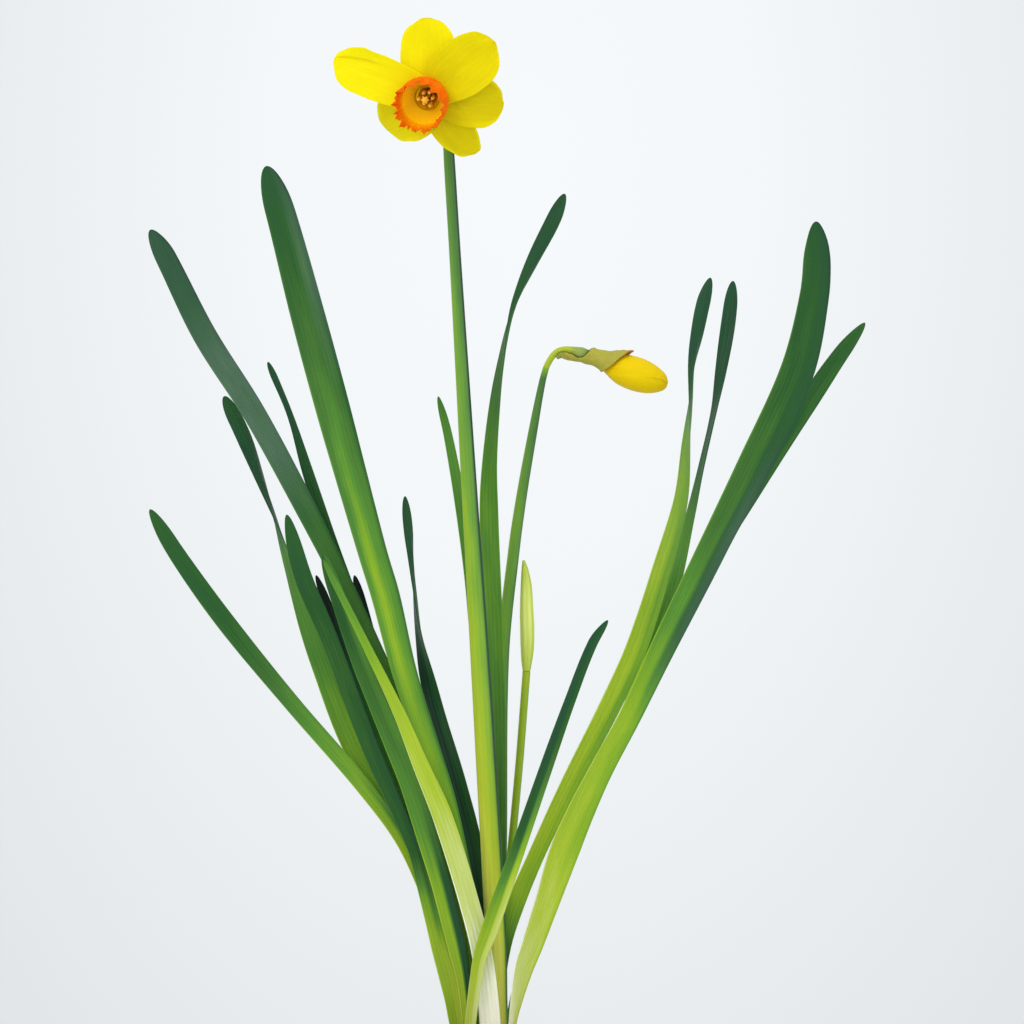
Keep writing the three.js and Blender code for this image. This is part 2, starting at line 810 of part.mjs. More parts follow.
function stemGeometry({ across, rows }, { sides, step, upright }) {
  const place = ([x, y, height]) => new THREE.Vector3(x, y, height);
  const { at, knots, length } = follow(rows, place, upright ? [0, 0, 1, 0, 0] : null);
  const direction = new THREE.Vector3(...across);
  const tangent = (d) => {
    const behind = upright ? d - REACH : Math.max(d - REACH, 0);
    return place(at(Math.min(d + REACH, length))).sub(place(at(behind))).normalize();
  };
  const distances = upright ? [ROOT_LINE - FREE_LINE] : [];
  for (let i = 1; i < knots.length; i++) {
    const span = knots[i] - knots[i - 1];
    const bend = tangent(knots[i - 1]).angleTo(tangent(knots[i]));
    const pieces = Math.ceil(Math.max(bend / BEND_STEP, span / step));
    for (let k = 0; k < pieces; k++) distances.push(knots[i - 1] + (span * k) / pieces);
  }
  distances.push(length);
  const rings = distances.map((d) => {
    const [x, y, height, wide, deep] = at(d);
    return ring(new THREE.Vector3(x, y, height), tangent(d), direction, wide, deep, sides);
  });
  return roundBody(rings);
}

// The hole that a stem stands in
function stemHole({ rows }) {
  const [x, y, , wide, deep] = rows[0];
  const up = new THREE.Vector3(0, 0, 1);
  const right = new THREE.Vector3(1, 0, 0);
  const rings = [ROOT_LINE - FIT, SLOT_TOP].map((height) =>
    ring(new THREE.Vector3(x, y, height), up, right, wide + FIT, deep + FIT, HOLE_SIDES),
  );
  return roundBody(rings);
}

// Radius of the pot's inside at a height
const INSIDE_FOOT = POT_BASE_RADIUS - POT_WALL;
const INSIDE_TOP = POT_RIM_RADIUS - RIM_SLOPE - POT_WALL;
function potInside(height) {
  const part = (height - POT_FLOOR) / (POT_HEIGHT - EDGE_ROUND - POT_FLOOR);
  return INSIDE_FOOT + (INSIDE_TOP - INSIDE_FOOT) * part;
}

// Pot, with its drain holes cut through the floor
function potGeometry() {
  const bandFoot = POT_HEIGHT - RIM_BAND;
  const profile = [
    [0, 0],
    [POT_BASE_RADIUS - EDGE_ROUND, 0],
    [POT_BASE_RADIUS, EDGE_ROUND],
    [POT_RIM_RADIUS - RIM_SLOPE - RIM_STEP, bandFoot - EDGE_ROUND],
    [POT_RIM_RADIUS - RIM_SLOPE - EDGE_ROUND, bandFoot],
    [POT_RIM_RADIUS - RIM_SLOPE, bandFoot + EDGE_ROUND],
    [POT_RIM_RADIUS, POT_HEIGHT - 2 * EDGE_ROUND],
    [POT_RIM_RADIUS - EDGE_ROUND, POT_HEIGHT],
    [INSIDE_TOP + EDGE_ROUND, POT_HEIGHT],
    [INSIDE_TOP, POT_HEIGHT - EDGE_ROUND],
    [INSIDE_FOOT, POT_FLOOR],
    [0, POT_FLOOR],
  ];
  const drains = Array.from({ length: DRAIN_COUNT }, (_, i) => {
    const angle = (2 * Math.PI * (i + DRAIN_TURN)) / DRAIN_COUNT;
    return new THREE.CylinderGeometry(DRAIN_RADIUS, DRAIN_RADIUS, 3 * POT_FLOOR, DRAIN_SIDES)
      .rotateX(Math.PI / 2)
      .translate(DRAIN_RING * Math.cos(angle), DRAIN_RING * Math.sin(angle), POT_FLOOR / 2);
  });
  return cut(turned(profile, POT_SIDES), drains);
}

// Bulb: one large bulb with a smaller one grown on each side, sharing the neck that the leaves come from
const BULB_WAIST = 58;
const BULB_PROFILE = [
  [0, 26],
  [9, 27],
  [19, 34],
  [25, 46],
  [27, BULB_WAIST],
  [25, 70],
  [21.8, 81],
];
const NECK = [
  [19.8, 90],
  [19, 93.5],
  [16.8, NECK_TOP - 0.5],
  [0, NECK_TOP + 1],
];
const NOSE = [
  [9, 90],
  [2.5, NECK_TOP],
  [0, NECK_TOP + 1],
];
const BULB_PARTS = [
  { x: -1, y: -1, across: 1, deep: 1, lift: 0, top: NECK },
  { x: -17, y: 6, across: 0.62, deep: 0.7, lift: -2, top: NOSE },
  { x: 16, y: 5, across: 0.6, deep: 0.66, lift: -3, top: NOSE },
];
function bulbBody(grow) {
  const bodies = BULB_PARTS.map(({ x, y, across, deep, lift, top }) => {
    const shape = [...BULB_PROFILE, ...top];
    const profile = shape.map(([radius, height]) => [
      radius ? radius + grow / Math.min(across, deep) : 0,
      height + grow * Math.sign(height - BULB_WAIST),
    ]);
    return turned(profile, BULB_SIDES).scale(across, deep, 1).translate(x, y, lift);
  });
  return join(bodies);
}

// Soil: its top is raised into lumps by a formula, and the bulb's place is cut from it
function soilLump(x, y) {
  const broad = Math.sin(0.33 * x + 1.7) * Math.cos(0.29 * y);
  const slanted = Math.sin(0.21 * x - 0.47 * y);
  return (SOIL_CRUMB * (broad + slanted)) / 2;
}

function soilGeometry() {
  const circle = (radius, height, lump) =>
    Array.from({ length: SOIL_SIDES }, (_, j) => {
      const angle = (2 * Math.PI * j) / SOIL_SIDES;
      const x = radius * Math.cos(angle);
      const y = radius * Math.sin(angle);
      return new THREE.Vector3(x, y, height + lump(x, y));
    });
  const low = POT_FLOOR + FIT;
  const rings = [circle(potInside(low) - 2 * FIT, low, () => 0)];
  const edge = potInside(SOIL_TOP) - 2 * FIT;
  for (let i = 0; i < SOIL_RINGS; i++) {
    rings.push(circle(edge * (1 - i / SOIL_RINGS), SOIL_TOP, soilLump));
  }
  return cut(roundBody(rings), [bulbBody(FIT)]);
}

// Open bloom, in its own frame: +Z is the way it faces
function tepalGeometry({ angle, length, width, foot, end, back, forward, trough }) {
  const along = new THREE.Vector3(Math.cos(degrees(angle)), Math.sin(degrees(angle)), 0);
  const face = new THREE.Vector3(0, 0, 1);
  const side = along.clone().cross(face);
  const stations = TEPAL_STEPS.map((part) => [part * (1 - end), 1]);
  for (const turn of TIP_TURNS.map(degrees)) {
    stations.push([1 - end + end * Math.sin(turn), Math.cos(turn)]);
  }
  const [front, rear] = [1, -1].map((sign) =>
    stations.map(([v, narrow]) => {
      const grown = Math.sin((Math.PI / 2) * Math.min(1, v / TEPAL_WIDEST));
      const wide = (width / 2) * narrow * (foot + (1 - foot) * grown);
      const reach = TEPAL_ROOT + (length - TEPAL_ROOT) * v;
      return TEPAL_COLUMNS.map((u) => {
        const bowl = trough * (u * u - TEPAL_BOWL) * Math.sin(Math.PI * v);
        const half = Math.max(BLADE_EDGE, TEPAL_THICK * (1 - EDGE_THINNING * u * u)) / 2;
        return along
          .clone()
          .multiplyScalar(reach)
          .addScaledVector(side, u * wide)
          .addScaledVector(face, forward - TEPAL_SEAT + bowl - back * v * v + sign * half);
      });
    }),
  );
  return blade(front, rear);
}

const TUBE_SIDES = 20;
const TUBE_PROFILE = [
  [0, -TUBE_LENGTH],
  [2.2, -TUBE_LENGTH],
  [2.8, -8],
  [4.8, -3],
  [DISC_RADIUS, -1.3],
  [DISC_RADIUS, 0.1],
  [THROAT_RADIUS, 0.1],
  [3.3, -3],
  [1.9, -8],
  [1.7, THROAT_FLOOR],
  [0, THROAT_FLOOR],
];
function perianthGeometry() {
  return join([turned(TUBE_PROFILE, TUBE_SIDES), ...TEPALS.map(tepalGeometry)]);
}

// The cup's wall is one closed profile carried round the axis. It spreads from the throat like a bowl, leans
// towards its rim, and has its rim frilled and notched by waves.
function cupGeometry() {
  const outline = [...CUP_LEVELS.map((v) => [v, 1]), ...CUP_LEVELS.toReversed().map((v) => [v, 0])];
  const waves = (table, angle) =>
    table.reduce((sum, [count, size, start]) => sum + size * Math.sin(count * angle + start), 0);
  const points = [];
  for (let j = 0; j < CUP_SIDES; j++) {
    const angle = (2 * Math.PI * j) / CUP_SIDES;
    const frill = waves(FRILLS, angle);
    const notch = waves(NOTCHES, angle);
    for (const [v, outside] of outline) {
      const flare = CUP_RIM_RADIUS - (CUP_RIM_RADIUS - CUP_BASE_RADIUS) * (1 - v) ** CUP_SPREAD;
      const wall = CUP_WALL + CUP_FOOT_WALL * (1 - v) ** 2;
      const radius = flare + frill * v ** 3 + outside * wall;
      const x = radius * Math.cos(angle) + CUP_LEAN[0] * v;
      const y = radius * Math.sin(angle) + CUP_LEAN[1] * v;
      points.push(new THREE.Vector3(x, y, CUP_SEAT + CUP_DEPTH * v + notch * v ** 4));
    }
  }
  const around = outline.length;
  const triangles = [];
  for (let j = 0; j < CUP_SIDES; j++) {
    const next = ((j + 1) % CUP_SIDES) * around;
    const here = j * around;
    for (let i = 0; i < around; i++) {
      const k = (i + 1) % around;
      triangles.push(here + i, next + i, next + k, here + i, next + k, here + k);
    }
  }
  return closedGeometry(points, triangles);
}

function stamensGeometry() {
  const up = new THREE.Vector3(0, 0, 1);
  const right = new THREE.Vector3(1, 0, 0);
  const stalk = (rows) =>
    roundBody(
      rows.map(([x, y, z, radius]) =>
        ring(new THREE.Vector3(x, y, z), up, right, radius, radius, STALK_SIDES),
      ),
    );
  const foot = THROAT_FLOOR + FIT;
  const root = foot + BASE_HEIGHT / 2;
  const base = new THREE.CylinderGeometry(BASE_RADIUS, BASE_RADIUS, BASE_HEIGHT, 2 * STALK_SIDES)
    .rotateX(Math.PI / 2)
    .translate(0, 0, root);
  const pieces = [base];
  for (let i = 0; i < STAMEN_COUNT; i++) {
    const angle = (2 * Math.PI * i) / STAMEN_COUNT;
    const { reach, middle } = STAMEN_WHORLS[i % STAMEN_WHORLS.length];
    const half = ANTHER_LENGTH / 2;
    const full = ANTHER_FULL * half;
    const rows = [
      [FILAMENT_RING, root, FILAMENT_RADIUS],
      [FILAMENT_RING, FILAMENT_BEND, FILAMENT_RADIUS],
      [reach, middle - half, FILAMENT_RADIUS],
      [reach, middle - full, ANTHER_RADIUS],
      [reach, middle + full, ANTHER_RADIUS],
      [reach, middle + half, FILAMENT_RADIUS],
    ];
    pieces.push(stalk(rows.map(([out, z, r]) => [out * Math.cos(angle), out * Math.sin(angle), z, r])));
  }
  pieces.push(stalk(STYLE.map(([z, radius]) => [0, 0, z, radius])));
  return join(pieces);
}

// A papery sheath: a thin sheet wrapped part of the way round a path
function sheathGeometry({ across, rows }) {
  const place = ([x, y, height]) => new THREE.Vector3(x, y, height);
  const { at, length } = follow(rows, place, null);
  const direction = new THREE.Vector3(...across);
  const [outer, inner] = [SHEATH_THICK, 0].map((grow) =>
    Array.from({ length: SHEATH_STEPS + 1 }, (_, i) => {
      const d = (length * i) / SHEATH_STEPS;
      const [x, y, height, radius, wrap, middle] = at(d);
      const ahead = place(at(Math.min(d + REACH, length)));
      const tangent = ahead.sub(place(at(Math.max(d - REACH, 0)))).normalize();
      const first = direction.clone().addScaledVector(tangent, -direction.dot(tangent)).normalize();
      const second = tangent.clone().cross(first);
      return Array.from({ length: SHEATH_COLUMNS }, (_, j) => {
        const angle = degrees(middle + wrap * ((2 * j) / (SHEATH_COLUMNS - 1) - 1));
        return new THREE.Vector3(x, y, height)
          .addScaledVector(first, (radius + grow) * Math.cos(angle))
          .addScaledVector(second, (radius + grow) * Math.sin(angle));
      });
    }),
  );
  return blade(outer, inner);
}

// The finished group
const plant = new THREE.Group();
plant.add(mesh("pot", potGeometry(), "clay"));
plant.add(mesh("soil", soilGeometry(), "soil"));
const slots = [...Object.values(LEAVES).map(leafSlot), ...Object.values(STEMS).map(stemHole)];
plant.add(mesh("bulb", cut(bulbBody(0), slots), "bulb"));
for (const [name, leaf] of Object.entries(LEAVES)) {
  plant.add(mesh(name, leafGeometry(leaf), name === "leaf_left_pale" ? "leafPale" : "leaf"));
}
const stemForm = { sides: STEM_SIDES, step: STEM_STEP, upright: true };
for (const [name, stem] of Object.entries(STEMS)) {
  plant.add(mesh(name, stemGeometry(stem, stemForm), "stem"));
}
const budForm = { sides: BUD_SIDES, step: BUD_STEP, upright: false };
plant.add(mesh("nodding_bud_petals", stemGeometry(NODDING_PETALS, budForm), "budYellow"));
plant.add(mesh("nodding_bud_sheath", sheathGeometry(NODDING_SHEATH), "sheath"));
plant.add(mesh("young_bud", stemGeometry(YOUNG_BUD, budForm), "budGreen"));
plant.add(mesh("bloom_sheath", sheathGeometry(BLOOM_SHEATH), "sheath"));

const bloom = new THREE.Group();
const bloomUp = new THREE.Vector3(0, 0, 1);
bloomUp.addScaledVector(BLOOM_FACES, -BLOOM_FACES.z).normalize();
const bloomRight = bloomUp.clone().cross(BLOOM_FACES);
bloom.quaternion.setFromRotationMatrix(new THREE.Matrix4().makeBasis(bloomRight, bloomUp, BLOOM_FACES));
bloom.position.copy(BLOOM_CENTRE);
bloom.add(mesh("bloom_tepals", perianthGeometry(), "tepal"));
bloom.add(mesh("bloom_cup", cupGeometry(), "cup"));
bloom.add(mesh("bloom_stamens", stamensGeometry(), "stamen"));
plant.add(bloom);

export default plant;
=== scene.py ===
"""Looks of the potted daffodil: fine leaves, stems, bloom, buds, pot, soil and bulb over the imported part.

The tables are in millimetres, as on the part. Every piece is made in metres in the part's own frame.
"""

import random
from math import atan2, ceil, copysign, cos, dist, exp, hypot, pi, radians, sin, sqrt

import bmesh
import bpy
from mathutils import Matrix, Vector, noise


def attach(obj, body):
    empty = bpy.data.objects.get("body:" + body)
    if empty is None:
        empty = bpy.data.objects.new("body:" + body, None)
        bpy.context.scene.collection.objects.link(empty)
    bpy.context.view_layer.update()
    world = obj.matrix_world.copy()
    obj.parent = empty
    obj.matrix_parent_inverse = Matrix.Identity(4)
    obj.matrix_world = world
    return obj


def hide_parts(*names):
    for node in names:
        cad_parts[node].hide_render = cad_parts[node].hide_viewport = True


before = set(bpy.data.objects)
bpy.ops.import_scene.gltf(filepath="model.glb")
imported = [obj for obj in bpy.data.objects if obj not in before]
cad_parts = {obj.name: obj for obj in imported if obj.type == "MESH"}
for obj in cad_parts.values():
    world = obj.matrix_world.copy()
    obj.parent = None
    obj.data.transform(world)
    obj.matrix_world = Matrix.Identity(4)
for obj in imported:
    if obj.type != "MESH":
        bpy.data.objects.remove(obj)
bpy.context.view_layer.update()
MM = 0.001

# Pot, soil and bulb, as on the part
POT_HEIGHT = 104
POT_BASE_RADIUS = 41
POT_RIM_RADIUS = 62
POT_WALL = 5
POT_FLOOR = 6
RIM_BAND = 21
RIM_STEP = 3.5
RIM_SLOPE = 1.5
EDGE_ROUND = 1.2
DRAIN_RADIUS = 5
DRAIN_RING = 24
DRAIN_COUNT = 3
DRAIN_TURN = 0.25
DRAIN_SIDES = 48
POT_SIDES = 144
POT_STEP = 4
CORNER_STEPS = 5
LIME = [(POT_HEIGHT - RIM_BAND - 6, 12, 0.9), (0, 9, 0.5), (POT_HEIGHT, 5, 0.35)]
FIT = 0.3
SOIL_TOP = 92
SOIL_CRUMB = 1.1
SOIL_GRAIN = 0.5
SOIL_RINGS = 40
SOIL_SIDES = 150
CRUMB_COUNT = 650
CRUMB_CORNERS = 42
CRUMB_SIZES = (0.5, 1.7)
CRUMB_POWER = 2.5
CRUMB_RISE = 0.15
CRUMB_MARGIN = 2
CRUMB_SEED = 11
ROOT_LINE = 80
NECK_TOP = 97
FREE_LINE = 98
SLOT_TOP = 107
BULB_WAIST = 58
BULB_SIDES = 96
BULB_SKIN = 20
BULB_ROUND = 3
BULB_STEP = 2
BULB_PROFILE = [(0, 26), (9, 27), (19, 34), (25, 46), (27, BULB_WAIST), (25, 70), (21.8, 81)]
NECK = [(19.8, 90), (19, 93.5), (16.8, NECK_TOP - 0.5), (0, NECK_TOP + 1)]
NOSE = [(9, 90), (2.5, NECK_TOP), (0, NECK_TOP + 1)]
BULB_PARTS = [
    {"x": -1, "y": -1, "across": 1, "deep": 1, "lift": 0, "top": NECK, "reach": 20.5},
    {"x": -17, "y": 6, "across": 0.62, "deep": 0.7, "lift": -2, "top": NOSE, "reach": 13},
    {"x": 16, "y": 5, "across": 0.6, "deep": 0.66, "lift": -3, "top": NOSE, "reach": 13},
]

# Leaves
LEAF_THICK_ROOT = 1.5
LEAF_THICK_TIP = 0.9
BLADE_EDGE = 0.6
EDGE_THINNING = 0.45
LEAF_STEP = 3
LEAF_SIDES = 40
EDGE_SHARPNESS = 0.3
TIP_STATIONS = 10
TIP_TURN = radians(88)
REACH = 0.5
FAN_HEIGHT = 392
FAN_SPREAD = 4.5
FAN_POWER = 1.4
KEEL_HEIGHT = 0.25
KEEL_WIDTH = 0.14
VEIN_PITCH = 0.75
CHANNEL = 0.1
TIP_THINNESS = 0.45
FOOT_LENGTH = 30
WAVE_DEPTH = 0.22
WAVE_LENGTH = 22

# Each leaf: its layer, the length of its rounded tip, how deep it is channelled if not as usual, and rows of
# (x, height, width) from the neck to the tip, with the turn in degrees where the leaf twists.
# Its looks: "tones" are rows of (height, tone), where "right" is for the right half and "middle" the middle;
# besides the leaf's own greens they hold painted shade where other leaves shade it and painted light where it
# is lit. "tilt" is painted shade added from the left margin (minus) to the right one (plus), and "edge" is
# painted shade at the right margin.
# "wax" has rows of how greyish the skin is, all over or on the side that "wax_side" gives.
LEAVES = {
    "leaf_left_tall": {
        "layer": -8.2, "tip": 17, "wax_side": 1, "edge": 0.16,
        "rows": [(0.8, 98, 4.4), (-2.4, 135, 5.2), (-10.8, 176, 6.8), (-16.2, 198, 7.6), (-22.9, 218, 8.4),
            (-31.5, 245, 9.5), (-38.4, 273, 10.8), (-43.2, 289, 11), (-51.8, 320, 12.2), (-58.6, 345, 13.1),
            (-68, 380, 13), (-77.5, 416, 11.4), (-83.6, 436, 10)],
        "tones": [(98, 0.3), (170, 0.5), (190, 0.42), (220, 0.44), (250, 0.52), (280, 0.56), (340, 0.6),
            (370, 0.66), (400, 0.7), (436, 0.8)],
        "middle": [(98, 0.3), (170, 0.48), (190, 0.38), (220, 0.36), (250, 0.32), (280, 0.33), (310, 0.42),
            (340, 0.52), (370, 0.62), (400, 0.7), (436, 0.8)],
        "right": [(98, 0.3), (190, 0.42), (250, 0.46), (280, 0.48), (310, 0.54), (340, 0.6), (370, 0.66),
            (400, 0.68), (436, 0.8)],
        "wax": [(350, 0), (385, 0.25), (415, 0.25), (430, 0.1)],
    },
    "leaf_left_high": {
        "layer": -5.4, "tip": 12, "edge": 0.1,
        "rows": [(-1.9, 98, 4.4), (-4.2, 135, 5.3), (-10.3, 176, 5.3), (-21.3, 209, 5.3), (-39, 246, 5.3),
            (-52, 273, 6.5), (-67.5, 304, 8), (-88, 342, 8.7), (-107, 372, 9.1), (-122, 402, 8),
            (-127.7, 412, 6.8)],
        "tones": [(98, 0.4), (190, 0.56), (250, 0.62), (290, 0.66), (320, 0.72), (350, 0.74), (380, 0.82),
            (412, 0.85)],
        "wax": [(300, 0), (330, 0.4), (362, 0.4), (385, 0.1)],
    },
    "leaf_left_low": {
        "layer": -2.8, "tip": 14,
        "rows": [(-9.9, 98, 4.2), (-13.6, 135, 5.6), (-21.7, 157, 5), (-32, 180, 5.3), (-47, 201, 6.1),
            (-73.7, 232, 6.3), (-99, 263, 7.2), (-117, 288, 6.5), (-128, 306, 5)],
        "tones": [(98, 0.3), (170, 0.32), (190, 0.35), (205, 0.4), (225, 0.52), (240, 0.62), (265, 0.72),
            (306, 0.74)],
        "right": [(98, 0.28), (175, 0.34), (186, 0.56), (193, 0.48), (203, 0.42), (218, 0.46), (232, 0.54),
            (250, 0.66), (306, 0.74)],
    },
    "leaf_left_twisted": {
        "layer": 0, "tip": 9, "channel": 0.08,
        "rows": [(-11.4, 98, 4.6), (-14.4, 131, 4.6), (-24, 163, 4.6), (-35, 188, 5.3), (-51.1, 216, 7.6),
            (-63.4, 247, 6.8), (-72, 273, 6.1, 47), (-76.5, 289, 6.1, 62), (-81.3, 304, 6.1, 92),
            (-87, 320, 6.1, 130), (-93, 335, 6.1, 165), (-99.9, 349, 5.3, 180)],
        "tones": [(98, 0.3), (170, 0.5), (195, 0.42), (215, 0.41), (235, 0.46), (250, 0.52), (290, 0.56),
            (296, 0.7), (305, 0.84), (320, 0.84), (349, 0.78)],
    },
    "leaf_left_dark": {
        "layer": -5.6, "tip": 17, "channel": 0.12,
        "rows": [(-10.6, 98, 4.6), (-12.6, 117, 5.8), (-15.1, 129, 6.6), (-18, 139, 6), (-20.6, 150, 5.8),
            (-23.7, 162.7, 5.7), (-28, 178, 5), (-44.5, 216, 6.5), (-60.4, 258, 6.8), (-70, 281, 6.8),
            (-76, 304, 5.2)],
        "tones": [(98, 0.3), (145, 0.3), (158, 0.4), (165, 0.52), (175, 0.7), (200, 0.73), (230, 0.68),
            (260, 0.7), (285, 0.76), (304, 0.7)],
        "right": [(98, 0.22), (118, 0.22), (140, 0.3), (150, 0.48), (165, 0.66), (180, 0.78), (215, 0.78),
            (250, 0.68), (285, 0.76), (304, 0.72)],
    },
    "leaf_left_green": {
        "layer": -8.4, "tip": 12, "channel": 0.12,
        "rows": [(-6.6, 98, 4), (-7.6, 114, 4.2), (-9.3, 129, 5.2), (-11.3, 139, 6.8), (-15.2, 155, 7.3),
            (-17.8, 165, 7.4), (-24.4, 187, 8), (-29.3, 202, 7.7), (-34.4, 215, 7.7), (-42.7, 235, 7),
            (-48, 248, 6.6), (-55.3, 269, 6), (-62.3, 289, 4.4)],
        "tones": [(98, 0.3), (120, 0.24), (150, 0.33), (170, 0.4), (190, 0.5), (220, 0.56), (250, 0.66),
            (270, 0.74), (289, 0.7)],
        "right": [(98, 0.5), (120, 0.8), (150, 0.86), (165, 0.82), (175, 0.66), (195, 0.52), (220, 0.5),
            (250, 0.54), (289, 0.6)],
    },
    "leaf_left_pale": {
        "layer": -11.2, "tip": 12, "channel": 0.12,
        "rows": [(1.6, 98, 8), (-1.2, 133, 7.8), (-6.8, 157, 7.6), (-16.7, 189, 7.6), (-24.7, 208, 6.2),
            (-33.4, 229, 4.6), (-47.5, 258, 3), (-62, 287, 2.4)],
        "tones": [(98, 0), (125, 0.01), (150, 0.1), (180, 0.16), (205, 0.22), (225, 0.27), (245, 0.33),
            (262, 0.42), (287, 0.52)],
    },
    "leaf_left_hidden": {
        "layer": 2.8, "tip": 10,
        "rows": [(-9.1, 98, 3.8), (-14, 140, 4.4), (-17.6, 153, 4.4), (-24.7, 176, 3.8), (-37, 207, 3.8),
            (-49, 237, 3.8), (-57.4, 261, 3.8), (-65, 281, 3)],
        "tones": [(98, 0.5), (180, 0.62), (230, 0.72), (250, 0.9), (281, 1)],
    },
    "leaf_left_short": {
        "layer": 0.2, "tip": 10,
        "rows": [(-2.7, 98, 3.4), (-6.5, 142, 3.8), (-15.2, 180, 4.2), (-28.5, 218, 4.6), (-43, 254, 4.2),
            (-46.7, 267, 3.9), (-50.4, 281, 3.4)],
        "tones": [(98, 0.5), (180, 0.75), (250, 0.95), (280, 1)],
    },
    "leaf_left_thin": {
        "layer": -2.6, "tip": 8,
        "rows": [(-3.4, 98, 3.8), (-7.2, 138, 4.2), (-15.2, 176, 4.6), (-28.5, 216, 4.9), (-43.7, 252, 5.3),
            (-57.8, 289, 5.3), (-68, 320, 4.3), (-74.8, 342, 2.4), (-83.2, 362, 2.8)],
        "tones": [(98, 0.4), (180, 0.4), (195, 0.36), (210, 0.34), (225, 0.42), (240, 0.6), (250, 0.74),
            (262, 0.66), (285, 0.72), (320, 0.76), (340, 0.84), (362, 0.86)],
    },
    "leaf_middle_dark": {
        "layer": 2.2, "tip": 9,
        "rows": [(0.1, 98, 3), (-1, 138, 4), (-4.4, 173, 7), (-11.3, 201, 7.4), (-20.2, 232, 6.4),
            (-25.8, 258, 5.7, 68), (-27.7, 275, 4.9, 90), (-29, 289, 4.2, 118), (-30, 300, 3.8, 155),
            (-31.2, 311, 3.2, 165)],
        "tones": [(98, 0.7), (150, 0.84), (185, 0.88), (230, 0.91), (260, 0.9), (285, 0.88), (311, 0.82)],
        "right": [(98, 0.6), (150, 0.72), (185, 0.72), (230, 0.78), (260, 0.8), (285, 0.82), (311, 0.82)],
    },
    "leaf_middle_thin": {
        "layer": 5, "tip": 9,
        "rows": [(1.9, 98, 3.8), (0.6, 157, 4.4), (-1.2, 211, 4.8), (-5.3, 271, 4.9), (-9.1, 302, 4.6),
            (-14.8, 334, 3.4), (-18.6, 349, 2.6)],
        "tones": [(98, 0.5), (211, 0.56), (271, 0.54), (302, 0.5), (330, 0.52), (349, 0.6)],
    },
    "leaf_middle_tall": {
        "layer": 2.2, "tip": 10,
        "rows": [(4.9, 98, 5), (4.5, 125, 5.2), (4.4, 150, 5.9), (4.2, 172, 6.2), (3.9, 223, 6.6),
            (2.3, 265, 7.2), (0.8, 302, 7.2), (1.1, 323, 6.5, 28), (3.4, 348, 5.9, 50), (6.1, 366, 5.7, 72),
            (8.4, 378, 5.7, 92), (11, 386, 5.7, 110), (17.7, 401, 5.7, 145), (24.7, 415, 5.7, 178),
            (29.6, 426, 4.8, 180)],
        "tones": [(98, 0.5), (150, 0.57), (200, 0.54), (240, 0.49), (280, 0.46), (315, 0.46), (335, 0.54),
            (355, 0.64), (380, 0.76), (412, 0.82), (426, 0.84)],
    },
    "leaf_front": {
        "layer": -14, "tip": 10, "channel": 0.2,
        "rows": [(-6.8, 98, 4.2), (-3.4, 133, 4.9), (0.8, 146, 6.5), (11, 175, 5.7), (23.8, 212, 4.9),
            (31.3, 233, 4.2), (39.9, 255, 3.8), (45.8, 264, 3.2)],
        "tones": [(98, 0.2), (125, 0.22), (145, 0.3), (158, 0.42), (172, 0.58), (185, 0.74), (210, 0.84),
            (264, 0.82)],
        "right": [(98, 0.12), (125, 0.12), (150, 0.14), (165, 0.2), (180, 0.36), (195, 0.5), (215, 0.64),
            (240, 0.74), (264, 0.8)],
    },
    "leaf_right_inner": {
        "layer": -0.8, "tip": 10,
        "rows": [(5, 98, 4.4), (4.8, 124, 4.4), (6.8, 140, 4.8), (10.6, 155, 6.6), (18.9, 175, 6.3),
            (31.6, 202, 7), (45.6, 229, 8.2), (56.2, 252, 8.2), (66, 282, 7.4), (73.7, 309, 6.5, 35),
            (76, 332, 6.1, 62), (77.1, 347, 5.7, 90), (77.9, 361, 5.5, 115), (79.8, 372, 5.5, 146),
            (82.1, 384, 5.3, 172), (84.9, 394, 4.4, 180)],
        "tones": [(98, 0.7), (130, 0.62), (145, 0.44), (160, 0.3), (190, 0.27), (240, 0.27), (280, 0.29),
            (310, 0.36), (335, 0.42), (348, 0.66), (362, 0.82), (394, 0.84)],
        "right": [(98, 0.7), (130, 0.62), (145, 0.46), (160, 0.34), (190, 0.32), (230, 0.4), (290, 0.42),
            (310, 0.4), (335, 0.42), (348, 0.66), (362, 0.82), (394, 0.84)],
        "wax": [(250, 0), (290, 0.08), (345, 0.2), (352, 0)],
    },
    "leaf_right_second": {
        "layer": 7.8, "tip": 10,
        "rows": [(9, 98, 3), (9.2, 110, 3), (16.3, 142, 4.6), (28.5, 173, 4.9), (43, 205, 5.3),
            (57, 237, 5.6), (69.2, 271, 5.6), (77.3, 303, 5.3, 48), (81.7, 322, 5.3, 68),
            (86.6, 344, 5.3, 66), (89.1, 358, 5.3, 38), (92, 378, 5.5), (93.7, 393, 4.6)],
        "tones": [(98, 0.4), (200, 0.5), (235, 0.56), (260, 0.52), (290, 0.52), (305, 0.58), (318, 0.72),
            (335, 0.86), (370, 0.88), (393, 0.86)],
    },
    "leaf_right_broad": {
        "layer": -10, "tip": 17, "channel": 0.14, "wax_side": 1, "edge": 0.08,
        "rows": [(8.9, 98, 2.8), (9.6, 110, 3), (11.2, 119.5, 4.6), (13.9, 131.3, 7.1), (16.8, 139.5, 8.1),
            (23, 157.4, 9.4), (29.5, 176.6, 11.2), (35.5, 191, 10.4), (43.1, 206.7, 9), (54, 227, 8.5),
            (66, 252, 9.5), (80.9, 282, 10.8), (88.8, 298, 11.3), (101, 322, 12.9), (117.4, 358, 13),
            (124, 387, 11.2), (125, 404, 10.2), (124.6, 415, 8.6)],
        "tones": [(98, 0.06), (125, 0.1), (150, 0.19), (190, 0.28), (225, 0.33), (245, 0.38), (262, 0.48),
            (285, 0.54), (310, 0.6), (340, 0.66), (370, 0.7), (400, 0.72), (415, 0.76)],
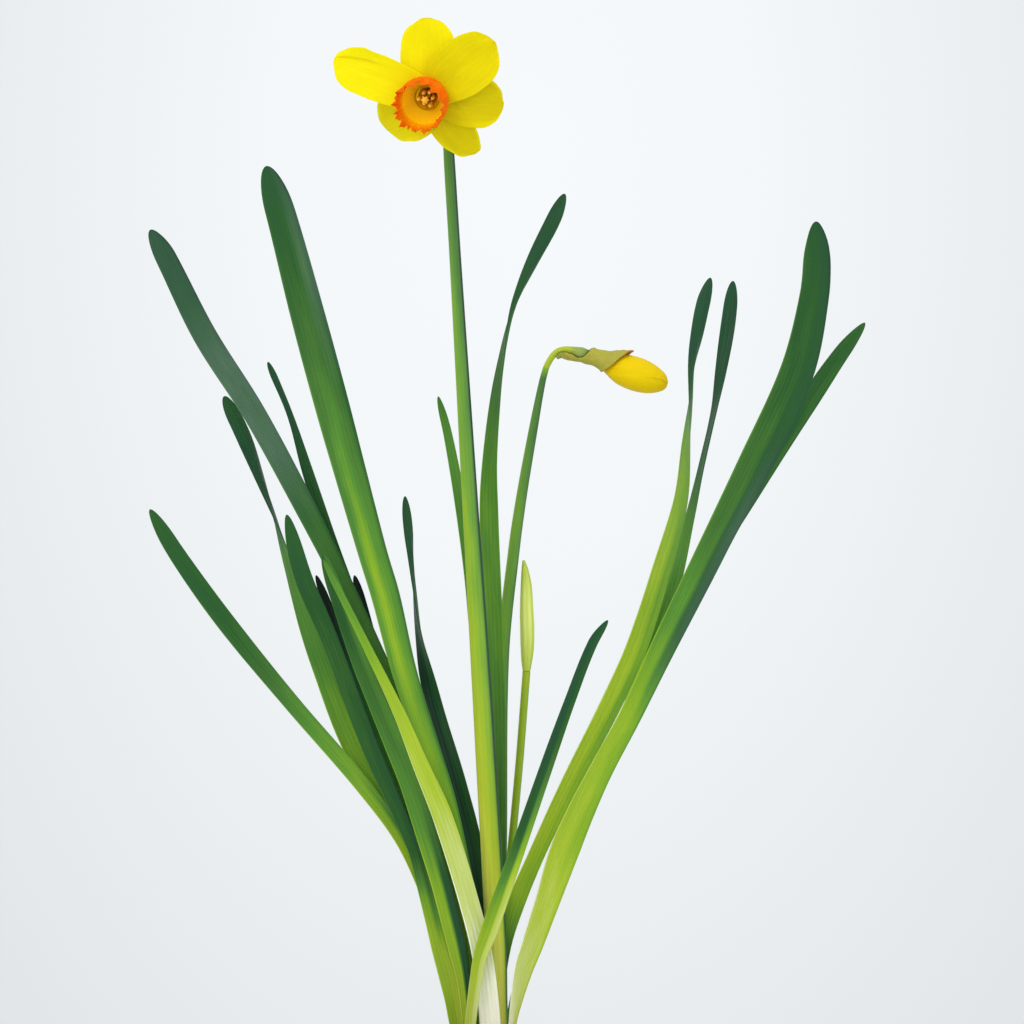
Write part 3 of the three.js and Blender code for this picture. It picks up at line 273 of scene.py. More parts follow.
        "right": [(98, 0.08), (150, 0.2), (190, 0.32), (225, 0.38), (245, 0.54), (265, 0.76), (300, 0.8),
            (340, 0.78), (370, 0.78), (415, 0.8)],
        "wax": [(235, 0), (262, 0.15), (305, 0.2), (335, 0)],
    },
    "leaf_right_outer": {
        "layer": 5, "tip": 14,
        "rows": [(8.3, 98, 3.6), (8.6, 110, 3.6), (17.5, 146, 4.6), (29.3, 176, 4.9), (47.5, 214, 5.3),
            (64, 249, 5.7), (77, 275, 5.6), (94.6, 302, 5.6), (111.4, 329, 6.1), (125, 351, 7.2),
            (134.5, 365, 6.1), (143.8, 377, 4.4)],
        "tones": [(98, 0.4), (200, 0.5), (260, 0.7), (300, 0.84), (330, 0.84), (346, 0.74), (377, 0.72)],
        "right": [(98, 0.4), (200, 0.5), (260, 0.62), (300, 0.72), (330, 0.7), (360, 0.68), (377, 0.72)],
    },
}

# Greens from a leaf's whitish foot (tone 0) to its darkest tip (tone 1), and those of the stems;
# the darker greens also serve for painted shade.
GREENS = [
    (0.0, "#fdffe6"), (0.1, "#c6d27c"), (0.22, "#a6bd2b"), (0.35, "#7ea61c"), (0.48, "#518729"),
    (0.6, "#3c6c25"), (0.72, "#21551e"), (0.85, "#1a4a2b"), (1.0, "#04100e"),
]
STEM_GREENS = [
    (0.0, "#e0df70"), (0.1, "#cbd04a"), (0.2, "#b0bf2a"), (0.3, "#95b328"), (0.4, "#74a030"),
    (0.5, "#568735"), (0.6, "#406834"), (0.75, "#2a4f2d"), (1.0, "#173324"),
]
WAX = "#5f7668"

# Where these lie across a blade: where they start or their middle, and how wide they are.
# Painted shade lies at the right edge, and a painted highlight at the left margin.
RIGHT_HALF = (-0.05, 0.5)
RIGHT_EDGE = (0.65, 0.35)
MIDDLE = (-0.22, 0.5)
LEFT_MARGIN = (0.86, 0.1)
# How much lighter the left margin is: a painted highlight on the edge that faces the light
MARGIN_HIGHLIGHT = 0.12

# Each stem: the direction that its first radius points in, and rows of
# (x, y, height, radius across, radius front to back) from the neck upwards. Its looks are given as a leaf's,
# with "tilt" and "edge" as painted shade down the right side, away from the light, and "ovary" is how many
# millimetres before its end its waxy swelling starts.
STEMS = {
    "bloom_scape": {
        "across": (1, 0, 0), "side_shade": 0.1, "edge": 0.6, "ovary": 10,
        "rows": [(4.6, -5.3, 98, 3.8, 2.7), (3.9, -5.3, 120, 3.9, 2.7), (3.4, -5.3, 142, 4, 2.8),
            (-1.1, -5.3, 223, 3.8, 2.7), (-6.6, -5, 312, 3, 2.3), (-12.2, -4.5, 404, 2.2, 2),
            (-14.4, -5, 440, 2.1, 1.9), (-15.2, -5.6, 454, 1.7, 1.7), (-15.8, -7.6, 463, 1.5, 1.5),
            (-17, -11, 467.4, 1.6, 1.6), (-18.3, -14.6, 467.6, 2.3, 2.3), (-19, -18.6, 466.6, 2.7, 2.7),
            (-19.8, -22.8, 465.4, 2.1, 2.1)],
        "tones": [(98, 0), (120, 0), (150, 0.11), (170, 0.18), (210, 0.28), (270, 0.37), (320, 0.43),
            (366, 0.48), (410, 0.54), (440, 0.55), (460, 0.5), (470, 0.42)],
    },
    "nodding_bud_scape": {
        "across": (0, 1, 0), "side_shade": 0.05, "edge": 0.1, "ovary": 7,
        "rows": [(3.9, 9.2, 98, 2.3, 2.3), (5.3, 13, 176, 2.3, 2.3), (6.1, 18.5, 250, 2.3, 2.3),
            (10.3, 22, 291, 2.2, 2.2), (13.3, 23.5, 312, 2, 2), (17.5, 25.5, 336, 1.7, 1.7),
            (20.5, 26.5, 352, 1.35, 1.35), (22.3, 26.8, 359.4, 1.2, 1.2), (24.3, 26.6, 363.4, 1.2, 1.2),
            (26.7, 26.3, 366, 1.2, 1.2), (29.4, 25.9, 366.8, 1.25, 1.25), (32.7, 25.4, 366.4, 1.6, 1.6),
            (35.8, 24.9, 365.5, 2.3, 2.3), (38.2, 24.5, 364.8, 2, 2)],
        "tones": [(98, 0.45), (283, 0.45), (320, 0.46), (351, 0.54), (358.8, 0.56), (359.8, 0.22),
            (366, 0.2)],
    },
    "young_bud_scape": {
        "across": (0, 1, 0), "side_shade": 0.04, "edge": 0.1,
        "rows": [(6, 13.4, 98, 1.5, 1.5), (6.2, 15.4, 140, 1.5, 1.5), (7.6, 16.2, 160, 1.5, 1.5),
            (10.4, 17, 189, 1.5, 1.5), (12.5, 18.4, 212, 1.5, 1.5), (15, 20.5, 244.2, 1.5, 1.5)],
        "tones": [(98, 0.42), (160, 0.32), (226, 0.27), (244, 0.25)],
    },
}
OVARY_WAX = 0.45
STEM_SIDES = 48
STEM_STEP = 4
STEM_RIDGES = 14
BEND_STEP = 0.08

# Where the open bloom sits, and the way it faces
BLOOM_CENTRE = Vector((-22.5, -38, 462.1))
BLOOM_FACES = Vector((-0.17, -0.96, -0.21)).normalized()
TUBE_LENGTH = 15
THROAT_RADIUS = 4.4
THROAT_FLOOR = -12
THROAT_ROUND = 0.8
DISC_RADIUS = 7.5
DISC_BACK = -1.3
DISC_FRONT = 0.1
TUBE_SIDES = 64
TUBE_STEP = 1
TUBE_PROFILE = [
    (2.2, -TUBE_LENGTH), (2.8, -8), (4.8, -3), (DISC_RADIUS, DISC_BACK), (DISC_RADIUS, DISC_FRONT),
    (THROAT_RADIUS, DISC_FRONT), (3.3, -3), (1.9, -8), (1.7, THROAT_FLOOR),
]
# Radii inside which the tube's surface belongs to the throat, by height
THROAT_WIDTHS = [(THROAT_FLOOR, 2), (-8, 2.2), (-3, 3.6), (-1, 4.9), (0, 5.4)]

# Tepals, each a row of direction in degrees from the right, length, width, width at the root and length of
# the rounded end as parts of those, how far the tip swings back, how far the whole tepal lies forward, and
# the depth of its lengthwise trough. The looks add the wave of its margin, its tone, which is painted shade
# growing on the tepals further from the light, how much darker its margin is in painted shade (below zero,
# lighter in a painted highlight), and how dark the painted shade in a fold near its left margin is.
TEPAL_KEYS = (
    "angle", "length", "width", "foot", "end", "back", "forward", "trough", "wave", "tone", "margin", "crease_shade"
)
TEPALS = [
    dict(zip(TEPAL_KEYS, row))
    for row in (
        (158.5, 38.2, 18.2, 0.78, 0.32, 2, 0.5, 1.6, 0.25, 0.15, 0.08, 0.35),
        (88, 29.8, 21.6, 0.75, 0.48, 3, -0.5, 1.2, 0.5, 0.31, -0.04, 0),
        (39, 33.5, 22, 0.6, 0.4, 1, 0.5, 1.4, 0.35, 0.44, -0.06, 0),
        (-8, 28.4, 19.8, 0.65, 0.36, 5, -0.3, 1.6, 0.4, 0.54, -0.12, 0),
        (-56, 28.6, 15.6, 0.78, 0.45, 6, -1.1, 1, 0.45, 0.48, -0.12, 0),
        (-142, 24, 23.4, 1, 0.72, 9, -1.6, 1.2, 0.6, 0.4, -0.12, 0),
    )
]
TEPAL_THICK = 0.8
TEPAL_STATIONS = 44
TEPAL_TIP_STATIONS = 16
TEPAL_SIDES = 72
TEPAL_WIDEST = 0.5
TEPAL_BOWL = 0.4
TEPAL_ROOT = 3.6
TEPAL_SEAT = 1.1
TEPAL_VEINS = 11
TEPAL_UNEVEN = 0.7
TEPAL_SWELL = 0.5
TEPAL_RIB = 0.22
TEPAL_TIP_THINNESS = 0.4

# Orange cup
CUP_BASE_RADIUS = 4.5
CUP_RIM_RADIUS = 9
CUP_DEPTH = 9.2
CUP_WALL = 0.7
CUP_FOOT_WALL = 0.7
CUP_LEAN = (-2, -2.2)
CUP_SPREAD = 5
CUP_SIDES = 352
CUP_LEVELS = 30
CUP_SEAT = 0.12
CUP_PLEATS = 30
PLEAT_DEPTH = 0.12
RIM_THINNING = 0.45
# Waves round the rim, outwards (frills) and forwards (notches): how many, how far, and where they start
FRILLS = [(13, 0.6, 0), (5, 0.35, 1)]
NOTCHES = [(13, 0.5, 2.2), (3, 0.4, 0)]
FINE_FRILLS = [(21, 0.3, 0.4), (37, 0.2, 2.1)]
FINE_NOTCHES = [(23, 0.3, 1.1), (37, 0.22, 0.2)]
RAGGED_SIDE = radians(225)
SMOOTH_SIDE = radians(40)
OLIVE_SIDE = radians(135)

# Stamens and style
BASE_RADIUS = 1.35
BASE_HEIGHT = 1.2
FILAMENT_RADIUS = 0.36
FILAMENT_RING = 0.95
FILAMENT_BEND = -7
ANTHER_LENGTH = 3.6
ANTHER_RADIUS = 0.7
STAMEN_COUNT = 6
STAMEN_WHORLS = [(2.3, 1), (2.9, 2.6)]
ANTHER_FULL = 0.6
STYLE = [(THROAT_FLOOR + FIT + BASE_HEIGHT / 2, 0.45), (4.6, 0.45), (5.4, 1.4), (6, 1.2)]
STALK_SIDES = 30
STALK_STEP = 0.5
STIGMA_POINTS = 6
STIGMA_DEPTH = 0.22

# Closed buds: rows of (x, y, height, radius across, radius front to back)
NODDING_PETALS = {"across": (0, 1, 0), "rows": [
    (39, 24.4, 364.5, 1.6, 1.6), (41.8, 24, 363.6, 1.7, 1.7), (43.8, 23.7, 362.9, 2.1, 2.1),
    (45.4, 23.4, 362, 2.9, 2.8), (47, 23.1, 361.1, 4.1, 3.9), (51.5, 22.3, 359.2, 6, 5.7),
    (57, 21.4, 357.3, 6.6, 6.3), (62, 20.6, 355.6, 5.9, 5.6), (65.5, 20.1, 354.5, 4.4, 4.2),
    (67.6, 19.8, 353.7, 2.7, 2.6), (68.5, 19.7, 353.4, 1.2, 1.2),
]}
YOUNG_BUD = {"across": (0, 1, 0), "rows": [
    (15, 20.5, 244.3, 1.4, 1.4), (15.1, 20.8, 247.9, 2.1, 2), (15.3, 21.3, 253, 2.7, 2.5),
    (15.3, 21.9, 260, 2.95, 2.7), (15.1, 22.5, 267, 2.85, 2.6), (14.9, 23.2, 276.8, 2.2, 2.1),
    (14.4, 23.7, 283, 1.4, 1.3), (13.9, 24, 286.6, 0.5, 0.5),
]}
BUD_SIDES = 96
BUD_STEP = 0.6

# Papery sheaths: rows of (x, y, height, radius, half angle of the wrap, middle of the wrap in degrees)
SHEATH_THICK = 0.62
SHEATH_STEPS = 90
SHEATH_COLUMNS = 48
SHEATH_CRINKLE = 0.3
SHEATH_RAGGED = 0.06
NODDING_SHEATH = {"across": (0, 1, 0), "rows": [
    (25.6, 26.4, 365, 1.6, 60, 270), (27.6, 26.1, 366.4, 2.4, 72, 272), (30, 25.8, 366.8, 3.1, 76, 275),
    (33, 25.4, 366.3, 3.1, 74, 282), (35.8, 24.9, 365.5, 2.8, 70, 292), (38.2, 24.5, 364.8, 2.8, 110, 290),
    (39.6, 24.4, 364.4, 2.7, 165, 262), (41.8, 24, 363.6, 2.65, 172, 215),
    (43.6, 23.7, 363, 3.05, 168, 165), (45.2, 23.4, 362.3, 3.6, 145, 125),
    (47, 23.1, 361.5, 4.8, 110, 102), (49, 22.8, 360.6, 5.8, 78, 95), (52, 22.3, 359.6, 6.6, 34, 92),
    (53.8, 22, 359.1, 6.9, 8, 92),
]}
BLOOM_SHEATH = {"across": (1, 0, 0), "rows": [
    (-15, -5.4, 447, 2.4, 130, 90), (-15.2, -5.3, 451, 2.5, 120, 90), (-15.4, -5, 456, 2.8, 105, 90),
    (-16, -4.6, 463.5, 3.2, 80, 90), (-16.6, -3.6, 471, 3.4, 40, 90), (-17, -2.8, 476, 3.4, 8, 90),
]}

# Camera: it looks level along +Y at the middle of the photographed part of the plant
VIEW_WIDTH = 389
VIEW_CENTRE = (9.5, 305)
CAMERA_DISTANCE = 12000
SENSOR = 36
FLOOR_RADIUS = 2400
FLOOR_SIDES = 128
FLOOR_FADE = (0.35, 0.6)


def paint(code):
    """A colour given as #rrggbb, as a shader's linear colour."""
    channels = [int(code[i : i + 2], 16) / 255 for i in (1, 3, 5)]
    return tuple(c / 12.92 if c < 0.04045 else ((c + 0.055) / 1.055) ** 2.4 for c in channels) + (1.0,)


def between(rows, place):
    """The value at a place along rows of (place, value), in straight stretches."""
    if place <= rows[0][0]:
        return rows[0][1]
    for (before, start), (after, end) in zip(rows, rows[1:]):
        if place <= after:
            return start + (end - start) * (place - before) / (after - before)
    return rows[-1][1]


def ease(value, start=0.0, width=1.0):
    """An S-curve from 0 at the start to 1 a width further."""
    t = min(max((value - start) / width, 0), 1)
    return t * t * (3 - 2 * t)


def hump(value, middle, width):
    """A rounded peak of height 1 at the middle."""
    return exp(-(((value - middle) / width) ** 2))


def bumps(*place):
    """Smooth noise at three numbers, from -1 to 1."""
    return noise.noise(Vector(place))


def around(sides):
    """Evenly spaced angles of a full turn."""
    return [2 * pi * j / sides for j in range(sides)]


def polar(radius, angle, height=0.0):
    return Vector((radius * cos(angle), radius * sin(angle), height))


# Nodes of a material
def add_node(tree, kind, inputs, **settings):
    node = tree.nodes.new("ShaderNode" + kind)
    for key, value in settings.items():
        setattr(node, key, value)
    for key, value in inputs.items():
        connect(tree, value, node.inputs[key])
    return node


def connect(tree, value, socket):
    """Feeds a socket from another one, or with a plain value."""
    if isinstance(value, bpy.types.NodeSocket):
        tree.links.new(value, socket)
    else:
        socket.default_value = value


def maths(tree, operation, first, second):
    return add_node(tree, "Math", {0: first, 1: second}, operation=operation).outputs[0]


def times(tree, first, second):
    return maths(tree, "MULTIPLY", first, second)


def total(tree, first, *others):
    for other in others:
        first = maths(tree, "ADD", first, other)
    return first


def mix(tree, factor, first, second):
    node = add_node(tree, "Mix", {0: factor, 6: first, 7: second}, data_type="RGBA")
    return node.outputs[2]


def ramp(tree, factor, stops):
    """A colour ramp through (position, #rrggbb) stops."""
    node = add_node(tree, "ValToRGB", {"Fac": factor})
    elements = node.color_ramp.elements
    while len(elements) < len(stops):
        elements.new(0.5)
    for element, (position, code) in zip(elements, stops):
        element.position = position
        element.color = paint(code)
    return node.outputs["Color"]


def attribute(tree, name, output="Fac"):
    return add_node(tree, "Attribute", {}, attribute_name=name).outputs[output]


def skin_noise(tree, stretch, detail=3.0):
    """Noise from 0 to 1 on a piece's skin coordinates in millimetres, stretched by (across, deep, along)."""
    place = attribute(tree, "skin", "Vector")
    mapped = add_node(tree, "Mapping", {"Vector": place, "Scale": stretch}).outputs[0]
    return add_node(tree, "TexNoise", {"Vector": mapped, "Scale": 1.0, "Detail": detail}).outputs["Fac"]


def spots(tree, stretch, amount, detail=3.0):
    """Skin noise from minus to plus half of an amount."""
    return times(tree, maths(tree, "SUBTRACT", skin_noise(tree, stretch, detail), 0.5), amount)


def new_material(name, **values):
    """A material, its node tree and its shader, with values for the shader's own sockets."""
    material = bpy.data.materials.new(name)
    material.use_nodes = True
    shader = material.node_tree.nodes["Principled BSDF"]
    for key, value in values.items():
        shader.inputs[SOCKETS[key]].default_value = value
    return material, material.node_tree, shader


def add_bump(tree, shader, height, distance, strength):
    bump = add_node(tree, "Bump", {"Height": height, "Distance": distance * MM, "Strength": strength})
    connect(tree, bump.outputs[0], shader.inputs["Normal"])


# Materials
SOCKETS = {
    "rough": "Roughness",
    "shine": "Specular IOR Level",
    "glow": "Subsurface Weight",
    "reach": "Subsurface Radius",
    "scale": "Subsurface Scale",
}
VEIN_TONE = 0.012
TEPAL_STOPS = [
    (0, "#f4ea0c"), (0.1, "#f0e308"), (0.3, "#e9d903"), (0.5, "#d6c404"), (0.7, "#c2ac04"),
    (0.85, "#ffc40c"), (1, "#eeae10"),
]
# Plain materials: colours by tone, how noise is stretched and how far it spreads the tone, roughness, shine,
# the depth of the relief, and how its grain is stretched
PLAIN = {
    "soil": (
        [(0.1, "#24170f"), (0.5, "#3b2718"), (0.9, "#5e4530")],
        (0.6, 0.6, 0.6), 0.9, 0.95, 0.1, 0.4, (4, 4, 4),
    ),
    "bulb": (
        [(0.1, "#6b4423"), (0.5, "#9c6b3c"), (0.9, "#c79c68")],
        (1.2, 1.2, 0.08), 0.9, 0.6, 0.3, 0.3, (2.5, 2.5, 0.2),
    ),
    "stamen": (
        [(0.1, "#f4d450"), (0.6, "#ffc838"), (1, "#fbdc58")],
        (1, 1, 1), 0.2, 0.7, 0.2, 0.15, (6, 6, 6),
    ),
    "bud_yellow": (
        [(0, "#eaca02"), (0.3, "#e4c000"), (0.6, "#ccac02"), (1, "#a09018")],
        (1.2, 1.2, 0.12), 0.2, 0.55, 0.08, 0.08, (3, 3, 0.4),
    ),
    "bud_green": (
        [(0, "#e6ee84"), (0.4, "#c2d24c"), (0.7, "#98b03c"), (1, "#6c8634")],
        (1.6, 1.6, 0.12), 0.3, 0.5, 0.3, 0.1, (3, 3, 0.3),
    ),
    "sheath": (
        [(0, "#8c9c66"), (0.3, "#aca638"), (0.6, "#b09430"), (0.85, "#bc7828"), (1, "#a45e22")],
        (1.4, 1.4, 0.15), 0.35, 0.65, 0.3, 0.25, (3, 3, 0.3),
    ),
}
CUP_STOPS = [
    (0, "#a08410"), (0.14, "#e0a80a"), (0.3, "#fcc206"), (0.55, "#ffca04"), (0.72, "#f6a202"),
    (0.84, "#ee7c02"), (0.92, "#e76800"), (1, "#dc5600"),
]


def veined(tree, stops, cloud, streaks):
    """The colour and the veins of a skin whose tone picks the colour, under cloudy and streaky spots."""
    veins = maths(tree, "COSINE", attribute(tree, "veins"), 0)
    shades = spots(tree, *cloud), spots(tree, *streaks), times(tree, veins, VEIN_TONE)
    return ramp(tree, total(tree, attribute(tree, "tone"), *shades), stops), veins


def green_material(name, stops, vein_depth):
    """A leaf or stem: mottled green with fine streaks, veins and grey wax."""
    material, tree, shader = new_material(name, shine=0.22)
    green, veins = veined(tree, stops, ((0.22, 0.22, 0.035), 0.16), ((3.2, 3.2, 0.06), 0.1))
    wax = times(tree, attribute(tree, "wax"), total(tree, 0.6, skin_noise(tree, (0.5, 0.5, 0.1))))
    connect(tree, mix(tree, wax, green, paint(WAX)), shader.inputs["Base Color"])
    connect(tree, total(tree, 0.46, spots(tree, (0.8, 0.8, 0.2), 0.2)), shader.inputs["Roughness"])
    relief = total(tree, times(tree, veins, 0.5), spots(tree, (4, 4, 0.5), 0.8))
    add_bump(tree, shader, relief, vein_depth, 0.7)
    return material


def tepal_material():
    """Bright yellow, a little deeper towards the cup and in the shade of its folds, with fine veins."""
    values = {"rough": 0.6, "shine": 0.06, "glow": 0.25, "reach": (1.0, 0.8, 0.1), "scale": 1.2 * MM}
    material, tree, shader = new_material("tepal", **values)
    yellow, veins = veined(tree, TEPAL_STOPS, ((0.14, 0.14, 0.08), 0.2), ((1.2, 1.2, 0.08), 0.14))
    connect(tree, yellow, shader.inputs["Base Color"])
    relief = total(tree, times(tree, veins, 0.2), spots(tree, (2, 2, 0.3), 1.4))
    add_bump(tree, shader, relief, 0.06, 0.6)
    return material


def cup_material():
    """Orange, deepest at the frilled rim, amber inside and olive in the throat."""
    values = {"rough": 0.6, "shine": 0.08, "glow": 0.5, "reach": (1.0, 0.6, 0.1), "scale": 2 * MM}
    material, tree, shader = new_material("cup", **values)
    blotch = spots(tree, (0.4, 0.4, 0.4), 0.14)
    tone = total(tree, attribute(tree, "tone"), blotch, spots(tree, (2.2, 2.2, 0.3), 0.08))
    connect(tree, ramp(tree, tone, CUP_STOPS), shader.inputs["Base Color"])
    add_bump(tree, shader, skin_noise(tree, (3, 3, 0.8)), 0.15, 0.7)
    return material


def plain_material(name):
    """A material whose tone picks the colour, with noise stretched along the piece and a grain bump."""
    stops, stretch, spread, rough, shine, relief, grain = PLAIN[name]
    material, tree, shader = new_material(name, rough=rough, shine=shine)
    tone = total(tree, attribute(tree, "tone"), spots(tree, stretch, spread))
    connect(tree, ramp(tree, tone, stops), shader.inputs["Base Color"])
    add_bump(tree, shader, skin_noise(tree, grain, 5.0), relief, 0.8)
    return material


def clay_material():
    """Fired clay: mottled, with throwing lines and a pale lime bloom where damp dries out."""
    material, tree, shader = new_material("clay", rough=0.85, shine=0.2)
    base = total(tree, 0.5, spots(tree, (0.05, 0.05, 0.08), 0.5, 6.0), spots(tree, (1.4, 1.4, 1.4), 0.3))
    colour = ramp(tree, base, [(0.2, "#96492c"), (0.5, "#b5623f"), (0.85, "#c67a55")])
    lime = times(tree, attribute(tree, "tone"), skin_noise(tree, (0.09, 0.09, 0.2), 8.0))
    connect(tree, mix(tree, lime, colour, paint("#e0c4b0")), shader.inputs["Base Color"])
    pits = times(tree, skin_noise(tree, (2, 2, 2), 4.0), 0.6)
    add_bump(tree, shader, total(tree, skin_noise(tree, (0.02, 0.02, 1.2), 2.0), pits), 0.35, 0.6)
    return material


def floor_material():
    """A plain pale surface that fades into the pale surroundings at its edge."""
    material, tree, shader = new_material("floor", rough=0.8, shine=0.1)
    place = add_node(tree, "TexCoord", {}).outputs["Object"]
    distance = add_node(tree, "VectorMath", {0: place}, operation="LENGTH").outputs["Value"]
    grain = add_node(tree, "TexNoise", {"Vector": place, "Scale": 40.0, "Detail": 4.0}).outputs["Fac"]
    connect(tree, mix(tree, grain, paint("#dde2e5"), paint("#e6eaec")), shader.inputs["Base Color"])
    start, width = (part * FLOOR_RADIUS * MM for part in FLOOR_FADE)
    fade = maths(tree, "DIVIDE", maths(tree, "SUBTRACT", distance, start), width)
    fade = add_node(tree, "Clamp", {0: fade}).outputs[0]
    glow = add_node(tree, "Emission", {"Color": paint("#eaeef0"), "Strength": 1.0}).outputs[0]
    blend = add_node(tree, "MixShader", {0: fade, 1: shader.outputs[0], 2: glow}).outputs[0]
    connect(tree, blend, tree.nodes["Material Output"].inputs["Surface"])
    return material


# Meshes
class Form:
    """Points, faces and values for each point, gathered before they become a piece. Millimetres."""

    def __init__(self):
        self.points = []
        self.faces = []
        self.tone = []
        self.veins = []
        self.wax = []
        self.skin = []

    def add(self, point, tone=0.5, veins=0.0, skin=None, wax=0.0):
        self.points.append(Vector(point))
        self.tone.append(tone)
        self.veins.append(veins)
        self.wax.append(wax)
        self.skin.append(tuple(skin if skin is not None else point))
        return len(self.points) - 1

    def ring(self, points, tone=0.5):
        return [self.add(point, tone) for point in points]

    def loft(self, rings, closed=True):
        """Faces through rings of point numbers, with the first and last ring closed over."""
        sides = len(rings[0])
        for low, high in zip(rings, rings[1:]):
            for j in range(sides):
                k = (j + 1) % sides
                self.faces.append((low[j], low[k], high[k], high[j]))
        if closed:
            self.faces.append(tuple(reversed(rings[0])))
            self.faces.append(tuple(rings[-1]))


def place_object(name, data):
    made = bpy.data.objects.new(name, data)
    bpy.context.scene.collection.objects.link(made)
    return made


def to_object(name, form, material):
    """A smooth mesh object from a form, with its faces turned outwards."""
    mesh = bpy.data.meshes.new(name)
    mesh.from_pydata([p * MM for p in form.points], [], form.faces)
    for key, kind, values in (
        ("tone", "FLOAT", form.tone),
        ("veins", "FLOAT", form.veins),
        ("wax", "FLOAT", form.wax),
        ("skin", "FLOAT_VECTOR", [c for place in form.skin for c in place]),
    ):
        layer = mesh.attributes.new(key, kind, "POINT")
        layer.data.foreach_set("vector" if kind == "FLOAT_VECTOR" else "value", values)
    work = bmesh.new()
    work.from_mesh(mesh)
    bmesh.ops.recalc_face_normals(work, faces=work.faces)
    work.to_mesh(mesh)
    work.free()
    mesh.polygons.foreach_set("use_smooth", [True] * len(mesh.polygons))
    mesh.materials.append(material)
    return place_object(name, mesh)


def dress(piece, node):
    """The piece stands for a node of the part and rides with it."""
    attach(piece, "root")
    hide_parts(node)


def add_piece(node, form, material):
    dress(to_object(node + "_look", form, material), node)


def carve(piece, tool):
    """Cuts one object out of another for good, and drops the tool."""
    cutter = piece.modifiers.new("cut", "BOOLEAN")
    cutter.operation = "DIFFERENCE"
    cutter.solver = "EXACT"
    cutter.use_self = True
    cutter.object = tool
    bpy.context.view_layer.update()
    result = piece.evaluated_get(bpy.context.evaluated_depsgraph_get())
    mesh = bpy.data.meshes.new_from_object(result)
    piece.modifiers.clear()
    piece.data = mesh
    bpy.data.objects.remove(tool)
    return piece


# Paths
def follow(rows, place, upright):
    """Smooth values along rows of numbers. The start runs straight up, or along the first two rows."""
    knots = [0.0]
    for before, after in zip(rows, rows[1:]):
        knots.append(knots[-1] + (place(after) - place(before)).length)
    last = len(rows) - 1

    def slope(i, k):
        if upright and i == 0:
            return upright[k]
        before = max(i - 1, 0)
        after = min(i + 1, last)
        return (rows[after][k] - rows[before][k]) / (knots[after] - knots[before])

    def at(distance):
        if distance < 0:
            return [value + (upright[k] * distance if upright else 0) for k, value in enumerate(rows[0])]
        i = 0
        while i < last - 1 and knots[i + 1] < distance:
            i += 1
        span = knots[i + 1] - knots[i]
        t = (distance - knots[i]) / span
        turn = t * t * (3 - 2 * t)
        values = []
        for k, start in enumerate(rows[i]):
            leave = slope(i, k) * span
            arrive = slope(i + 1, k) * span
            bend = t * (1 - t) * (leave * (1 - t) - arrive * t)
            values.append(start + (rows[i + 1][k] - start) * turn + bend)
        return values

    return at, knots


def fan(height):
    """Depth grows with height by one rule for all leaves, so that their order never changes."""
    rise = max(0, height - FREE_LINE) / FAN_HEIGHT
    return 1 + FAN_SPREAD * rise**FAN_POWER


def tone_at(looks, height, across):
    """A leaf's or stem's tone at a height and a place across it from -1 to 1, painted shade and light
    included.
    """
    tone = between(looks["tones"], height)
    if "right" in looks:
        tone += (between(looks["right"], height) - tone) * ease(across, *RIGHT_HALF)
    if "middle" in looks:
        tone += (between(looks["middle"], height) - tone) * hump(across, *MIDDLE)
    # Painted shade: darker across towards the right side and at the right margin, away from the light
    return tone + looks.get("side_shade", 0) * across + looks.get("edge", 0) * ease(across, *RIGHT_EDGE)


def wax_at(looks, height, across):
    """How greyish a leaf's skin is there, from 0 to 1."""
    if "wax" not in looks:
        return 0.0
    share = ease(across * looks["wax_side"], 0, 0.6) if "wax_side" in looks else 1
    return between(looks["wax"], height) * share


def blade_edge(sides):
    """Places round a blade's section: across it from -1 to 1, on which face, and how full it is there."""
    for angle in around(sides):
        yield cos(angle), copysign(1, sin(angle)), abs(sin(angle)) ** EDGE_SHARPNESS


def blade_stations(body, steps, tip, tip_steps):
    """Places along a blade and how wide it is there, up to the end of its rounded tip."""
    stations = [(body * i / steps, 1.0) for i in range(steps + 1)]
    for i in range(1, tip_steps + 1):
        angle = TIP_TURN * i / tip_steps
        stations.append((body + tip * sin(angle), cos(angle)))
    return stations


